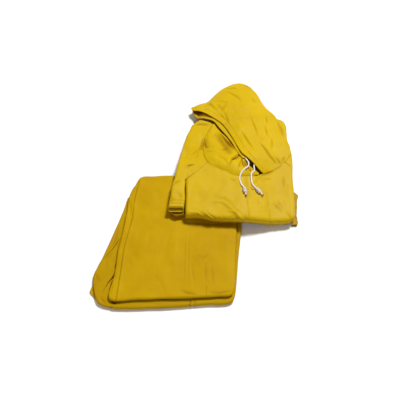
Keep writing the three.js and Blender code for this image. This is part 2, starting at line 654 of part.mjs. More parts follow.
const peepRows = [
  { innerX: 321.2, outerX: 333, y: 26 },
  { innerX: 321.2, outerX: 344, y: 15 },
  { innerX: 320.8, outerX: 338, y: -9 },
  { innerX: 320, outerX: 335, y: -41 },
  { innerX: 318.4, outerX: 331.5, y: -68 },
  { innerX: 315, outerX: 334, y: -96 },
  { innerX: 313, outerX: 331, y: -105 },
];
const peepRadius = 3.6;
const peepTop = 8.4;
const peepGrid = spread(9).map((t) => {
  const { innerX, outerX, y } = rowAt(peepRows, t * (peepRows.length - 1), false);
  const reach = outerX - peepRadius - innerX;
  const flat = [0, 1].map((s) => [innerX + reach * s, 0]);
  const rolled = spread(4, 0.6, Math.PI - 0.6).map((turn) => [
    outerX - peepRadius + peepRadius * Math.sin(turn), peepRadius * (Math.cos(turn) - 1)]);
  const under = [1, 0].map((s) => [innerX + reach * s, -2 * peepRadius]);
  return [...flat, ...rolled, ...under].map(([x, depth]) => new THREE.Vector3(x, y, peepTop + depth));
});
addPiece('jacket_sleeve_left_folded_end', wallFromGrid(peepGrid, clothWall, 1), jacketCloth);

// Hood, laid over to the right: a row runs from its lower and upper opening edges to its outline
const hoodRows = [
  { lowX: -27, lowY: 374, upX: -29, upY: 380, upLift: 14, outX: -35, outY: 396, outZ: 39, crownZ: 42.5, open: 0 },
  { lowX: -10, lowY: 347, upX: 10, upY: 363, upLift: 14.5, outX: 28, outY: 439, outZ: 9, crownZ: 31, open: 1 },
  { lowX: 12, lowY: 336, upX: 30, upY: 350, upLift: 15, outX: 80, outY: 501, outZ: 8, crownZ: 33, open: 1 },
  { lowX: 46, lowY: 313, upX: 60, upY: 327, upLift: 15, outX: 156, outY: 539, outZ: 8, crownZ: 37, open: 1 },
  { lowX: 64, lowY: 277, upX: 85, upY: 300, upLift: 17, outX: 211, outY: 501, outZ: 8, crownZ: 43, open: 1 },
  { lowX: 99, lowY: 228, upX: 115, upY: 243, upLift: 17, outX: 254, outY: 411, outZ: 8, crownZ: 49, open: 1 },
  { lowX: 125, lowY: 180, upX: 134, upY: 191, upLift: 17, outX: 288, outY: 338, outZ: 31.8, crownZ: 52, open: 0 },
  { lowX: 140, lowY: 150, upX: 148, upY: 154, upLift: 17, outX: 304, outY: 245, outZ: 37, crownZ: 56, open: 0 },
  { lowX: 150, lowY: 131, upX: 163, upY: 136, upLift: 17, outX: 318, outY: 165, outZ: 40, crownZ: 56, open: 0 },
  { lowX: 156, lowY: 122, upX: 178, upY: 119, upLift: 16, outX: 291, outY: 123, outZ: 40, crownZ: 53, open: 0 },
  { lowX: 162, lowY: 112, upX: 195, upY: 100, upLift: 14, outX: 262, outY: 99, outZ: 42, crownZ: 54, open: 0 },
  { lowX: 168, lowY: 102, upX: 211, upY: 82, upLift: 10, outX: 224, outY: 74, outZ: 50, crownZ: 59, open: 0 },
];
const hoodHeight = (row, s) => {
  const edgeZ = jacketTop(row.upX, row.upY) + row.upLift;
  const restZ = row.outZ + 12 * row.open;
  const bend = 4 * row.crownZ - edgeZ * 3 - restZ;
  const plain = edgeZ + bend * s + (restZ - edgeZ - bend) * s * s;
  const fall = Math.sqrt(Math.max(1 - s ** 7, 0));
  return mix(plain, row.outZ + (plain - row.outZ) * fall, row.open);
};
const hoodPoint = (row, s) => new THREE.Vector3(
  mix(row.upX, row.outX, s), mix(row.upY, row.outY, s), hoodHeight(row, s));
const hoodLength = (row) => Math.hypot(row.outX - row.upX, row.outY - row.upY);
const casingShare = (row) => Math.min(casingWidth / hoodLength(row), 0.42);
const hoodEnd = hoodRows.length - 1;
const hoodSteps = spread(20).map((t) => rowAt(hoodRows, t * hoodEnd));
addPiece('hood_left_panel', wallFromGrid(hoodSteps.map((row) =>
  [0, 0.12, 0.26, 0.4, 0.54, 0.68, 0.8, 0.88, 0.94, 0.98, 1].map((t) =>
    hoodPoint(row, mix(casingShare(row) + 0.4 / hoodLength(row), 1, t)))), clothWall, -1), jacketCloth);

// Casings: the opening's edges turned back on themselves as flat tunnels for the cord
const casingTurns = spread(3, 0.4, Math.PI - 0.4);
addPiece('hood_casing_left', wallFromGrid(hoodSteps.map((row) => {
  const share = casingShare(row);
  const upper = [1, 0.5, 0.15].map((t) => hoodPoint(row, share * t));
  const lower = [0.2, 0.95].map((t) => hoodPoint(row, share * t).add(new THREE.Vector3(0, 0, -2 * casingFold)));
  const start = hoodPoint(row, Math.min(casingFold / hoodLength(row), 0.1));
  const outward = new THREE.Vector3(row.upX - row.outX, row.upY - row.outY, 0).normalize();
  const turned = casingTurns.map((turn) => start.clone()
    .addScaledVector(outward, casingFold * Math.sin(turn))
    .add(new THREE.Vector3(0, 0, casingFold * (Math.cos(turn) - 1))));
  return [...upper, ...turned, ...lower];
}), clothWall, 1), jacketCloth);

const casingEnd = 8;
const lowEdge = (row, distance, z) => {
  const inward = new THREE.Vector3(row.outX - row.lowX, row.outY - row.lowY, 0).normalize();
  return new THREE.Vector3(row.lowX, row.lowY, z).addScaledVector(inward, distance);
};
const lowHeight = (row) => jacketTop(row.lowX, row.lowY) + 8;
const casingWidthAt = (row) => Math.min(casingWidth, hoodLength(row) * 0.8);
addPiece('hood_casing_right', wallFromGrid(spread(15).map((t) => {
  const row = rowAt(hoodRows, t * casingEnd);
  const z = lowHeight(row);
  const width = casingWidthAt(row);
  const upper = [1, 0.6, 0.25].map((s) => lowEdge(row, width * s, z - s));
  const turned = casingTurns.map((turn) => lowEdge(row, casingFold * (1 - Math.sin(turn)),
    z + casingFold * (Math.cos(turn) - 1)));
  const lower = [0.25, 0.95].map((s) => lowEdge(row, width * s, z - s - 2 * casingFold));
  return [...upper, ...turned, ...lower];
}), clothWall, 1), jacketCloth);

// Right hood panel inside the mouth: from its casing down on to the shoulders, then out to the shared outline
const hoodBed = (x, y) => 0.3 + (jacketTop(x, y) + 0.6) * (1 - ease((y - 338) / 54));
addPiece('hood_right_panel', wallFromGrid(spread(13).map((t) => {
  const row = rowAt(hoodRows, t * 5.7);
  const start = lowEdge(row, casingWidthAt(row) + 1, 0);
  const endZ = row.outZ - 0.6;
  return [0, 0.08, 0.18, 0.32, 0.5, 0.68, 0.82, 0.92, 0.97, 0.99].map((s) => {
    const x = mix(start.x, row.outX, s);
    const y = mix(start.y, row.outY, s);
    const bed = hoodBed(x, y) + clothWall;
    const rim = bed + Math.max(endZ - bed, 0) * (1 - Math.sqrt(Math.max(1 - s ** 12, 0)));
    return new THREE.Vector3(x, y, mix(Math.max(lowHeight(row) - 4.2, bed), rim, ease(s / 0.3)));
  });
}), clothWall, -1), insideCloth);

// Right hood panel where it rises from the neckline and passes under its casing
const neckRows = [
  { neckX: 46, neckY: 313, underX: 56, underY: 312, rise: 1 },
  { neckX: 18, neckY: 251, underX: 80, underY: 270, rise: 3 },
  { neckX: 12, neckY: 181, underX: 107, underY: 233, rise: 5 },
  { neckX: 25, neckY: 120, underX: 130, underY: 186, rise: 6 },
  { neckX: 52, neckY: 91, underX: 145, underY: 154, rise: 6 },
  { neckX: 95, neckY: 71, underX: 158, underY: 132, rise: 5 },
  { neckX: 120, neckY: 57, underX: 166, underY: 112, rise: 4 },
  { neckX: 150, neckY: 54.5, underX: 176, underY: 98, rise: 3 },
  { neckX: 180, neckY: 60, underX: 190, underY: 88, rise: 2 },
  { neckX: 205, neckY: 68, underX: 206, underY: 76, rise: 1 },
];
addPiece('hood_right_neck', wallFromGrid(spread(14).map((t) => {
  const row = rowAt(neckRows, t * (neckRows.length - 1));
  return spread(7).map((s) => {
    const x = mix(row.neckX, row.underX, s);
    const y = mix(row.neckY, row.underY, s);
    const swell = row.rise * Math.sin(Math.PI * Math.min(s * 1.2, 1));
    return new THREE.Vector3(x, y, jacketTop(x, y) + flapLift + 0.5 + swell);
  });
}), clothWall, -1), jacketCloth);

// Drawcord: its two free ends hang from the ends of the casings, each with a knot
function cord(name, rows) {
  const spots = rows.map(({ x, y, above }) => new THREE.Vector3(x, y, jacketTop(x, y) + above));
  const path = new THREE.CatmullRomCurve3(spots, false, 'centripetal');
  const round = new THREE.Shape(spread(10).slice(0, -1).map((t) => new THREE.Vector2(
    cordRadius * Math.cos(t * 2 * Math.PI), cordRadius * Math.sin(t * 2 * Math.PI))));
  const steps = Math.round(path.getLength() / (cordRadius * 4.6));
  addPiece(name, new THREE.ExtrudeGeometry(round, { steps, bevelEnabled: false, extrudePath: path }), ropeWhite);
  return { end: spots.at(-1), along: path.getTangent(1) };
}
const knotProfile = [
  [0, 0], [3, 0], [5, 2.5], [5.9, 6], [5.2, 9.5], [5.6, 12.5], [4.6, 16], [2.8, 18.5],
  [2.4, 21], [2.6, 25], [2.9, 30], [0, 30.5],
];
function knot(name, { end, along }, tip) {
  const piece = addPiece(name, new THREE.LatheGeometry(
    knotProfile.map(([radius, height]) => new THREE.Vector2(radius, height)), 10), ropeWhite);
  piece.quaternion.setFromUnitVectors(new THREE.Vector3(0, 1, 0), tip);
  piece.position.copy(end).addScaledVector(along, seamGap).addScaledVector(tip, 0.6);
}
const rightCord = cord('drawcord_right', [
  { x: 161.4, y: 131.6, above: 6.2 },
  { x: 165, y: 122, above: 9 },
  { x: 170, y: 108, above: 11 },
  { x: 168, y: 94, above: 10.5 },
  { x: 149, y: 73, above: 10.5 },
  { x: 141, y: 59, above: 8 },
  { x: 136.5, y: 43, above: 3.6 },
  { x: 142, y: 19, above: 3.4 },
  { x: 150, y: 6, above: 5.5 },
]);
knot('drawcord_right_knot', rightCord, new THREE.Vector3(0.2, -1, 0.02).normalize());
const leftCord = cord('drawcord_left', [
  { x: 191, y: 111, above: 7 },
  { x: 189, y: 95, above: 7.5 },
  { x: 189, y: 80, above: 7.5 },
  { x: 180, y: 69, above: 8.5 },
  { x: 177, y: 49, above: 6 },
  { x: 179, y: 28, above: 5.2 },
  { x: 184, y: 17, above: 6.6 },
  { x: 192, y: 7, above: 7.6 },
]);
knot('drawcord_left_knot', leftCord, new THREE.Vector3(0.66, -0.68, -0.17).normalize());

// The suit stands on the table, centred over its origin
const bounds = new THREE.Box3().setFromObject(suit);
const middle = bounds.getCenter(new THREE.Vector3());
suit.position.set(-middle.x, -middle.y, -bounds.min.z);

export default suit;
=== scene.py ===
# Rain suit, folded: coated yellow cloth, twisted white drawcord, lap-felled and hemmed edges.
# Pattern places are millimetres in the suit's own layout: x to the right, y away from the near folds, z up.

import math
from types import SimpleNamespace

import bpy
import numpy as np
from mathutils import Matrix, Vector, noise


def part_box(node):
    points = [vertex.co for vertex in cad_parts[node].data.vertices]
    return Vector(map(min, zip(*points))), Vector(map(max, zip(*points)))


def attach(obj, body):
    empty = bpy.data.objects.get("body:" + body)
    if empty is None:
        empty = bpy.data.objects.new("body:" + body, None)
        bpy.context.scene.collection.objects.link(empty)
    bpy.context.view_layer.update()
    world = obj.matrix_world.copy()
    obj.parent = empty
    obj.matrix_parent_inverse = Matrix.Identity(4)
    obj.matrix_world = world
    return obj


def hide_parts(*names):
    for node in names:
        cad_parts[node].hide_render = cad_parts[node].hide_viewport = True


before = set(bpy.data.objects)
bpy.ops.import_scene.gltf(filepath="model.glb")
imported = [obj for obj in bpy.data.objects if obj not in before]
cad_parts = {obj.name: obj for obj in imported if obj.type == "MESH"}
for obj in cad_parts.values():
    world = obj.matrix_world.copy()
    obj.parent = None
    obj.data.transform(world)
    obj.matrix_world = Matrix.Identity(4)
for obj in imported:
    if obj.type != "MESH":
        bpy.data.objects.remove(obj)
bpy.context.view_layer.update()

MM = 0.001

# Cloth and layers, the same sizes as the solids
CLOTH_WALL = 1.2
SEAM_GAP = 0.35
LAYER_GAP = 0.45
LOWER_BUNDLE_TOP = 14
UPPER_BUNDLE_TOP = 30
LOWER_FOLD_RADIUS = 5.9
UPPER_FOLD_RADIUS = 7.4
JACKET_BASE = 30.5
JACKET_THICKNESS = 38
SHOULDER_THINNING = 8
NEAR_FOLD_RADIUS = 18.5
SIDE_FOLD_RADIUS = 11
SLEEVE_HEIGHT = 16.5
CUFF_SLANT = 13
CASING_WIDTH = 22
CASING_FOLD = 1.9
FLAP_LIFT = CLOTH_WALL + 0.6
CORD_RADIUS = 2.5

# Where the suit's own layout lies in the frame, from a corner of the storm flap that both know
FLAP_FREE_EDGE_X = 158
FLAP_TOP_Y = 68
flap_low, flap_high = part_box("storm_flap")
SHIFT = np.array([flap_low.x / MM - FLAP_FREE_EDGE_X, flap_high.y / MM - FLAP_TOP_Y, 0.0])


# Numbers and tables

def mix(a, b, t):
    return a + (b - a) * t


def ease(t):
    s = np.clip(t, 0, 1)
    return s * s * (3 - 2 * s)


def roll_turns(count):
    """Angles round a rolled edge, from just past its top to just short of its underside."""
    return np.linspace(0.3, math.pi - 0.3, count)


def table(columns, *rows):
    """A table with named columns, each kept as an array."""
    return {name: np.array(column, float) for name, column in zip(columns.split(), zip(*rows))}


def rows_at(rows, places, smooth=True):
    """A table at fractional row numbers, each column on a smooth or a straight line between rows."""
    last = len(next(iter(rows.values()))) - 1
    index = np.clip(np.floor(places).astype(int), 0, last - 1)
    t = places - index
    result = {}
    for name, column in rows.items():
        a, b, c, d = (column[np.clip(index + k, 0, last)] for k in (-1, 0, 1, 2))
        square = 2 * a - 5 * b + 4 * c - d
        cube = 3 * b - a - 3 * c + d
        curved = (2 * b + (c - a) * t + square * t * t + cube * t ** 3) / 2
        result[name] = curved if smooth else mix(b, c, t)
    return result


def centripetal(points, count, closed):
    """Places along the smooth curve through the given points."""
    points = np.array(points, float)
    size = len(points)
    spans = size if closed else size - 1
    if closed:
        around = np.vstack([points[-1], points, points[0], points[1]])
    else:
        around = np.vstack([2 * points[0] - points[1], points, 2 * points[-1] - points[-2]])
    places = np.linspace(0, spans, count, endpoint=not closed)
    found = []
    for place in places:
        i = min(int(place), spans - 1)
        t = place - i
        p0, p1, p2, p3 = around[i:i + 4]
        d0, d1, d2 = (max(np.linalg.norm(b - a) ** 0.5, 1e-4) for a, b in ((p0, p1), (p1, p2), (p2, p3)))
        m1 = ((p1 - p0) / d0 - (p2 - p0) / (d0 + d1) + (p2 - p1) / d1) * d1
        m2 = ((p2 - p1) / d1 - (p3 - p1) / (d1 + d2) + (p3 - p2) / d2) * d1
        square = -3 * p1 + 3 * p2 - 2 * m1 - m2
        cube = 2 * p1 - 2 * p2 + m1 + m2
        found.append(p1 + m1 * t + square * t * t + cube * t ** 3)
    return np.array(found)


# Camera: the photograph's view, 58 degrees down on the middle of the layout
CAMERA_ELEVATION = math.radians(58)
CAMERA_DISTANCE = 2.2
PICTURE_SIDE = 400
FOCAL_PIXELS = 627
SENSOR_WIDTH = 36

camera_data = bpy.data.cameras.new("photo_camera")
camera_data.sensor_width = SENSOR_WIDTH
camera_data.lens = SENSOR_WIDTH * FOCAL_PIXELS / PICTURE_SIDE
camera = bpy.data.objects.new("photo_camera", camera_data)
bpy.context.scene.collection.objects.link(camera)
camera_target = Vector(SHIFT * MM)
camera.location = camera_target + CAMERA_DISTANCE * Vector(
    (0, -math.cos(CAMERA_ELEVATION), math.sin(CAMERA_ELEVATION)))
camera.rotation_euler = (math.pi / 2 - CAMERA_ELEVATION, 0, 0)
bpy.context.scene.camera = camera


# Materials

def linear(hex_colour):
    """An sRGB hex colour as linear RGBA."""
    channels = [int(hex_colour[i:i + 2], 16) / 255 for i in (1, 3, 5)]
    return (*(c / 12.92 if c <= 0.04045 else ((c + 0.055) / 1.055) ** 2.4 for c in channels), 1.0)


def node(tree, kind, settings=None, links=None):
    """Adds a node with its settings and input values, and links its inputs."""
    made = tree.nodes.new(kind)
    for name, value in (settings or {}).items():
        if name in made.inputs:
            made.inputs[name].default_value = value
        else:
            setattr(made, name, value)
    for name, source in (links or {}).items():
        tree.links.new(source, made.inputs[name])
    return made


def new_material(name):
    material = bpy.data.materials.new(name)
    material.use_nodes = True
    material.node_tree.nodes.clear()
    return material, material.node_tree


def finish_material(tree, shader):
    node(tree, "ShaderNodeOutputMaterial", links={"Surface": shader.outputs["BSDF"]})


THREAD_SPACING = 1.8  # mm; the real yarns lie about 0.35 mm apart, drawn coarser so that they show
WAVE_RATE = 20  # the wave texture turns by 20 radians for each unit of its place


def coated_cloth(name, face, worn, painted_shade_colour, roughness, weave_depth, gleam):
    """Woven polyester with a knife-spread PVC coat: the eye sees a soft satin sheen over a faint grid
    of yarns and fine crumpling from packing. Its third colour is painted shade, mixed in by the crease
    attribute along creases, seams, fold undersides and wherever else shade is painted."""
    material, tree = new_material(name)
    place = node(tree, "ShaderNodeUVMap", {"uv_map": "pattern"}).outputs["UV"]
    solid = node(tree, "ShaderNodeNewGeometry").outputs["Position"]
    tone_depth = node(tree, "ShaderNodeAttribute", {"attribute_name": "crease"}).outputs["Fac"]
    cloudy = node(tree, "ShaderNodeTexNoise", {"Scale": 11.0, "Detail": 4.0, "Roughness": 0.55},
                  {"Vector": solid})
    cloud_range = node(tree, "ShaderNodeMapRange", {"From Min": 0.3, "From Max": 0.72},
                       {"Value": cloudy.outputs["Fac"]})
    tinted = node(tree, "ShaderNodeMix", {"data_type": "RGBA"})
    tinted.inputs[6].default_value = linear(face)
    tinted.inputs[7].default_value = linear(worn)
    tree.links.new(cloud_range.outputs["Result"], tinted.inputs[0])
    # painted shade: the crease attribute mixes the painted shade colour over the cloth's own colours
    depth_range = node(tree, "ShaderNodeMapRange", {"To Max": 0.88}, {"Value": tone_depth})
    shaded = node(tree, "ShaderNodeMix", {"data_type": "RGBA"})
    tree.links.new(depth_range.outputs["Result"], shaded.inputs[0])
    tree.links.new(tinted.outputs[2], shaded.inputs[6])
    shaded.inputs[7].default_value = linear(painted_shade_colour)
    yarns = []
    for direction in ("X", "Y"):
        wave = node(tree, "ShaderNodeTexWave", {
            "wave_type": "BANDS", "bands_direction": direction, "Distortion": 0.4, "Detail": 1.0,
            "Scale": 2 * math.pi / (WAVE_RATE * THREAD_SPACING * MM)}, {"Vector": place})
        yarns.append(wave.outputs["Fac"])
    weave = node(tree, "ShaderNodeMath", {"operation": "MULTIPLY"})
    tree.links.new(yarns[0], weave.inputs[0])
    tree.links.new(yarns[1], weave.inputs[1])
    crumple = node(tree, "ShaderNodeTexNoise",
                   {"Scale": 95.0, "Detail": 5.0, "Roughness": 0.6, "Distortion": 0.6}, {"Vector": solid})
    broad = node(tree, "ShaderNodeTexNoise", {"Scale": 26.0, "Detail": 3.0, "Distortion": 1.2},
                 {"Vector": solid})
    yarn_bump = node(tree, "ShaderNodeBump", {"Strength": 0.5, "Distance": weave_depth * MM},
                     {"Height": weave.outputs["Value"]})
    crumple_bump = node(tree, "ShaderNodeBump", {"Strength": 0.3, "Distance": 0.5 * MM},
                        {"Height": crumple.outputs["Fac"], "Normal": yarn_bump.outputs["Normal"]})
    broad_bump = node(tree, "ShaderNodeBump", {"Strength": 0.4, "Distance": 1.6 * MM},
                      {"Height": broad.outputs["Fac"], "Normal": crumple_bump.outputs["Normal"]})
    gloss = node(tree, "ShaderNodeMapRange", {"To Min": roughness - 0.07, "To Max": roughness + 0.09},
                 {"Value": crumple.outputs["Fac"]})
    shader = node(tree, "ShaderNodeBsdfPrincipled", {"IOR": 1.53, "Specular IOR Level": gleam}, {
        "Base Color": shaded.outputs[2], "Roughness": gloss.outputs["Result"],
        "Normal": broad_bump.outputs["Normal"]})
    finish_material(tree, shader)
    return material


def twisted_polyester():
    """Twisted polyester rope: matte and slightly blue white, with painted shade greying the grooves between
    its strands, and tips browned where they were melted."""
    material, tree = new_material("twisted_polyester_rope")
    solid = node(tree, "ShaderNodeNewGeometry").outputs["Position"]
    tone_depth = node(tree, "ShaderNodeAttribute", {"attribute_name": "crease"}).outputs["Fac"]
    fibre = node(tree, "ShaderNodeTexNoise", {"Scale": 900.0, "Detail": 3.0}, {"Vector": solid})
    tone = node(tree, "ShaderNodeValToRGB", links={"Fac": tone_depth})
    tone.color_ramp.elements[0].color = linear("#ECEAF0")
    tone.color_ramp.elements[1].color = linear("#5E4630")
    # painted shade: grey for the grooves between strands
    groove = tone.color_ramp.elements.new(0.5)
    groove.color = linear("#A9A4B4")
    bump = node(tree, "ShaderNodeBump", {"Strength": 0.6, "Distance": 0.2 * MM},
                {"Height": fibre.outputs["Fac"]})
    shader = node(tree, "ShaderNodeBsdfPrincipled", {"Roughness": 0.78, "IOR": 1.5, "Sheen Weight": 0.25}, {
        "Base Color": tone.outputs["Color"], "Normal": bump.outputs["Normal"]})
    finish_material(tree, shader)
    return material


def sewing_thread(name, hex_colour):
    """Spun polyester sewing thread: matte, a little deeper in colour than the cloth, with a fine twist."""
    material, tree = new_material(name)
    solid = node(tree, "ShaderNodeNewGeometry").outputs["Position"]
    twist = node(tree, "ShaderNodeTexNoise", {"Scale": 1400.0, "Detail": 1.0}, {"Vector": solid})
    tone = node(tree, "ShaderNodeMix", {"data_type": "RGBA"})
    tone.inputs[6].default_value = linear(hex_colour)
    tone.inputs[7].default_value = linear("#8A5E08")
    dim = node(tree, "ShaderNodeMapRange", {"To Max": 0.45}, {"Value": twist.outputs["Fac"]})
    tree.links.new(dim.outputs["Result"], tone.inputs[0])
    shader = node(tree, "ShaderNodeBsdfPrincipled", {"Roughness": 0.7, "IOR": 1.5},
                  {"Base Color": tone.outputs[2]})
    finish_material(tree, shader)
    return material


def moulded_acetal():
    """Press stud cap, injection moulded acetal: smooth and slightly glossy with faint handling marks."""
    material, tree = new_material("moulded_acetal_cap")
    solid = node(tree, "ShaderNodeNewGeometry").outputs["Position"]
    marks = node(tree, "ShaderNodeTexNoise", {"Scale": 420.0, "Detail": 4.0}, {"Vector": solid})
    tone = node(tree, "ShaderNodeMix", {"data_type": "RGBA"})
    tone.inputs[6].default_value = linear("#CBA20C")
    tone.inputs[7].default_value = linear("#B48C0A")
    tree.links.new(marks.outputs["Fac"], tone.inputs[0])
    gloss = node(tree, "ShaderNodeMapRange", {"To Min": 0.24, "To Max": 0.42},
                 {"Value": marks.outputs["Fac"]})
    shader = node(tree, "ShaderNodeBsdfPrincipled", {"IOR": 1.48}, {
        "Base Color": tone.outputs[2], "Roughness": gloss.outputs["Result"]})
    finish_material(tree, shader)
    return material


# The third colour of each cloth below is painted shade, mixed in wherever the crease attribute paints shade.
JACKET_CLOTH = coated_cloth(
    "coated_polyester_jacket", "#C7A807", "#BC9C05", "#6A2E02",
    roughness=0.46, weave_depth=0.10, gleam=0.08)
TROUSER_CLOTH = coated_cloth(
    "coated_polyester_trousers", "#BB9805", "#B18C04", "#623602",
    roughness=0.5, weave_depth=0.10, gleam=0.03)
# The matte uncoated inside of the cloth, its colours darkened as painted shade: it clothes the hidden stacks
# and the hood's inside, which lie in shade.
JACKET_INSIDE_PAINTED_SHADE = coated_cloth(
    "uncoated_polyester_jacket_inside_painted_shade", "#A37A07", "#8C6405", "#4E2002",
    roughness=0.78, weave_depth=0.2, gleam=0.05)
TROUSER_INSIDE_PAINTED_SHADE = coated_cloth(
    "uncoated_polyester_trousers_inside_painted_shade", "#7E5406", "#6C4604", "#3A1E02",
    roughness=0.8, weave_depth=0.2, gleam=0.03)
CORD_ROPE = twisted_polyester()
JACKET_THREAD = sewing_thread("spun_polyester_thread_jacket", "#B98A12")
TROUSER_THREAD = sewing_thread("spun_polyester_thread_trousers", "#A87A0E")
STUD_CAP = moulded_acetal()


# Meshes

def place_piece(name, points, faces, material, stands_for=(), tone=None, pattern=None):
    """A smooth-shaded mesh from layout points, riding on the part's one body."""
    mesh = bpy.data.meshes.new(name)
    places = ((np.asarray(points) + SHIFT) * MM).tolist()
    mesh.from_pydata(places, [], [tuple(int(i) for i in face) for face in faces])
    mesh.polygons.foreach_set("use_smooth", np.ones(len(mesh.polygons), bool))
    # The crease attribute holds painted shade for the materials, and on the rope also the brown of its melted
    # tips.
    shade = mesh.attributes.new("crease", "FLOAT", "POINT")
    depths = np.zeros(len(points)) if tone is None else np.asarray(tone, float).ravel()
    shade.data.foreach_set("value", depths)
    if pattern is not None:
        corners = np.zeros(len(mesh.loops), int)
        mesh.loops.foreach_get("vertex_index", corners)
        mesh.uv_layers.new(name="pattern").data.foreach_set("uv", (np.asarray(pattern)[corners] * MM).ravel())
    mesh.materials.append(material)
    mesh.update()
    piece = bpy.data.objects.new(name, mesh)
    bpy.context.scene.collection.objects.link(piece)
    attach(piece, "root")
    if stands_for:
        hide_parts(*stands_for)
    return piece


def grid_normals(grid):
    """Unit normals of a grid of points, from its rows' and columns' directions."""
    along = np.gradient(grid, axis=0)
    across = np.gradient(grid, axis=1)
    normal = np.cross(along, across)
    return normal / np.maximum(np.linalg.norm(normal, axis=2, keepdims=True), 1e-9)


def grid_pattern(grid):
    """Flat cloth places of a grid, from the mean lengths between its rows and columns."""
    along = np.linalg.norm(np.diff(grid, axis=0), axis=2).mean(1)
    across = np.linalg.norm(np.diff(grid, axis=1), axis=2).mean(0)
    u, v = (np.concatenate([[0], np.cumsum(step)]) for step in (along, across))
    return np.stack(np.meshgrid(u, v, indexing="ij"), -1)


def shell_faces(rows, columns):
    """Faces of a wall of cloth between an outer and an inner grid."""
    index = np.arange(rows * columns).reshape(rows, columns)
    inner = index + rows * columns
    quads = [np.stack([index[:-1, :-1], index[1:, :-1], index[1:, 1:], index[:-1, 1:]], -1).reshape(-1, 4)]
    inner_quads = np.stack([inner[:-1, :-1], inner[:-1, 1:], inner[1:, 1:], inner[1:, :-1]], -1)
    quads.append(inner_quads.reshape(-1, 4))
    for rim, turned in ((index[0], False), (index[-1], True), (index[:, 0], True), (index[:, -1], False)):
        under = rim + rows * columns
        strip = np.stack([rim[:-1], rim[1:], under[1:], under[:-1]], -1)
        quads.append(strip[:, ::-1] if turned else strip)
    return np.concatenate(quads)


def cut_area(grid):
    """Area of a grid of points, in square metres."""
    a = np.cross(grid[1:, 1:] - grid[:-1, :-1], grid[1:, :-1] - grid[:-1, 1:])
    return float(np.linalg.norm(a, axis=2).sum() / 2 * MM * MM)


def cloth_shell(name, grid, material, stands_for, side, relief=None, wall=CLOTH_WALL,
                shade=0.0):
    """A thin shell of cloth on a grid of layout points, with relief along its normals.
    side says whether the inner face lies along the grid's normals or against them."""
    normals = grid_normals(grid) * side
    height = np.zeros(grid.shape[:2])
    tone = np.zeros(grid.shape[:2])
    if relief is not None:
        height, tone = relief(grid)
    # shade adds an even painted shade over the whole piece
    tone = np.clip(tone + shade, 0, 1)
    outer = grid - normals * height[:, :, None]
    outer[..., 2] = np.maximum(outer[..., 2], 0)
    inner = outer + grid_normals(outer) * side * wall
    inner[..., 2] = np.maximum(inner[..., 2], 0)
    rows, columns = grid.shape[:2]
    faces = shell_faces(rows, columns)
    if side < 0:
        faces = faces[:, ::-1]
    flat = grid_pattern(grid)
    points = np.concatenate([outer.reshape(-1, 3), inner.reshape(-1, 3)])
    pattern = np.concatenate([flat.reshape(-1, 2)] * 2)
    piece = place_piece(name, points, faces, material, stands_for,
                        np.concatenate([tone.ravel(), tone.ravel()]), pattern)
    width, length = flat[-1, -1] * MM
    area = cut_area(grid)
    width = max(width, area / length)
    return outer


def trouser_shell(node_name, grid, relief, shade=0.0):
    """A panel of the trousers' cloth over their hidden layers, named after the node it stands for."""
    return cloth_shell(f"{node_name}_cloth", grid, TROUSER_CLOTH, [node_name], -1, relief,
                       shade=shade)


def jacket_shell(node_name, grid, side, relief, shade=0.0):
    """A panel of the jacket's cloth, named after the node it stands for."""
    return cloth_shell(f"{node_name}_cloth", grid, JACKET_CLOTH, [node_name], side, relief,
                       shade=shade)


# Creases

def crease(route, width, depth, lip=0.0, tone=None):
    """A soft trough (depth below zero) or ridge along a route; its lip stands up on the route's left side."""
    # tone is painted shade along the crease: by default a narrow trough darkens by its depth
    if tone is None:
        tone = min(-depth / SHADE_DEPTH, 1) if depth < 0 and width < SOFT_WIDTH else 0
    return SimpleNamespace(route=np.array(route, float), width=width, depth=depth, lip=lip, tone=tone)


def along_route(x, y, route):
    """Signed distance from a route, the fraction of its length at the nearest place, and that length."""
    best = np.full(x.shape, np.inf)
    side = np.zeros(x.shape)
    place = np.zeros(x.shape)
    lengths = np.linalg.norm(np.diff(route, axis=0), axis=1)
    total = lengths.sum()
    before = 0.0
    for (ax, ay), (bx, by), length in zip(route[:-1], route[1:], lengths):
        dx, dy = (bx - ax) / length, (by - ay) / length
        t = np.clip((x - ax) * dx + (y - ay) * dy, 0, length)
        away = np.hypot(x - ax - dx * t, y - ay - dy * t)
        nearer = away < best
        best = np.where(nearer, away, best)
        side = np.where(nearer, np.sign(dx * (y - ay) - dy * (x - ax)), side)
        place = np.where(nearer, (before + t) / total, place)
        before += length
    return best * side, place, total


SHADE_DEPTH = 7.0
SOFT_WIDTH = 7.5
SHARPNESS = 1.35
CREASE_SCALE = 0.95
STITCH_PITCH = 3.6
PUCKER_PITCH = 11.0


def crease_relief(x, y, creases):
    """Height and painted shade of a table of creases at layout places."""
    height = np.zeros(x.shape)
    colour = np.zeros(x.shape)
    for fold in creases:
        away, place, total = along_route(x, y, fold.route)
        waver = 1 + 0.3 * np.sin(place * total / 17 + fold.width)
        fade = np.sin(math.pi * np.clip(place, 0, 1)) ** 0.7
        width = fold.width * mix(0.45, 1.0, fade) * waver
        soft = fold.width >= SOFT_WIDTH
        trough = np.exp(-np.abs(away / width) ** (2 if soft else SHARPNESS)) * fade
        ridge = np.exp(-((away - 1.9 * width) / (1.2 * width)) ** 2) * fade
        height += CREASE_SCALE * (fold.depth * trough + fold.lip * ridge)
        # painted shade, darkest on the crease's line
        colour += fold.tone * np.exp(-(away / width / 0.6) ** 2) * fade
    return height, np.clip(colour, 0, 1)


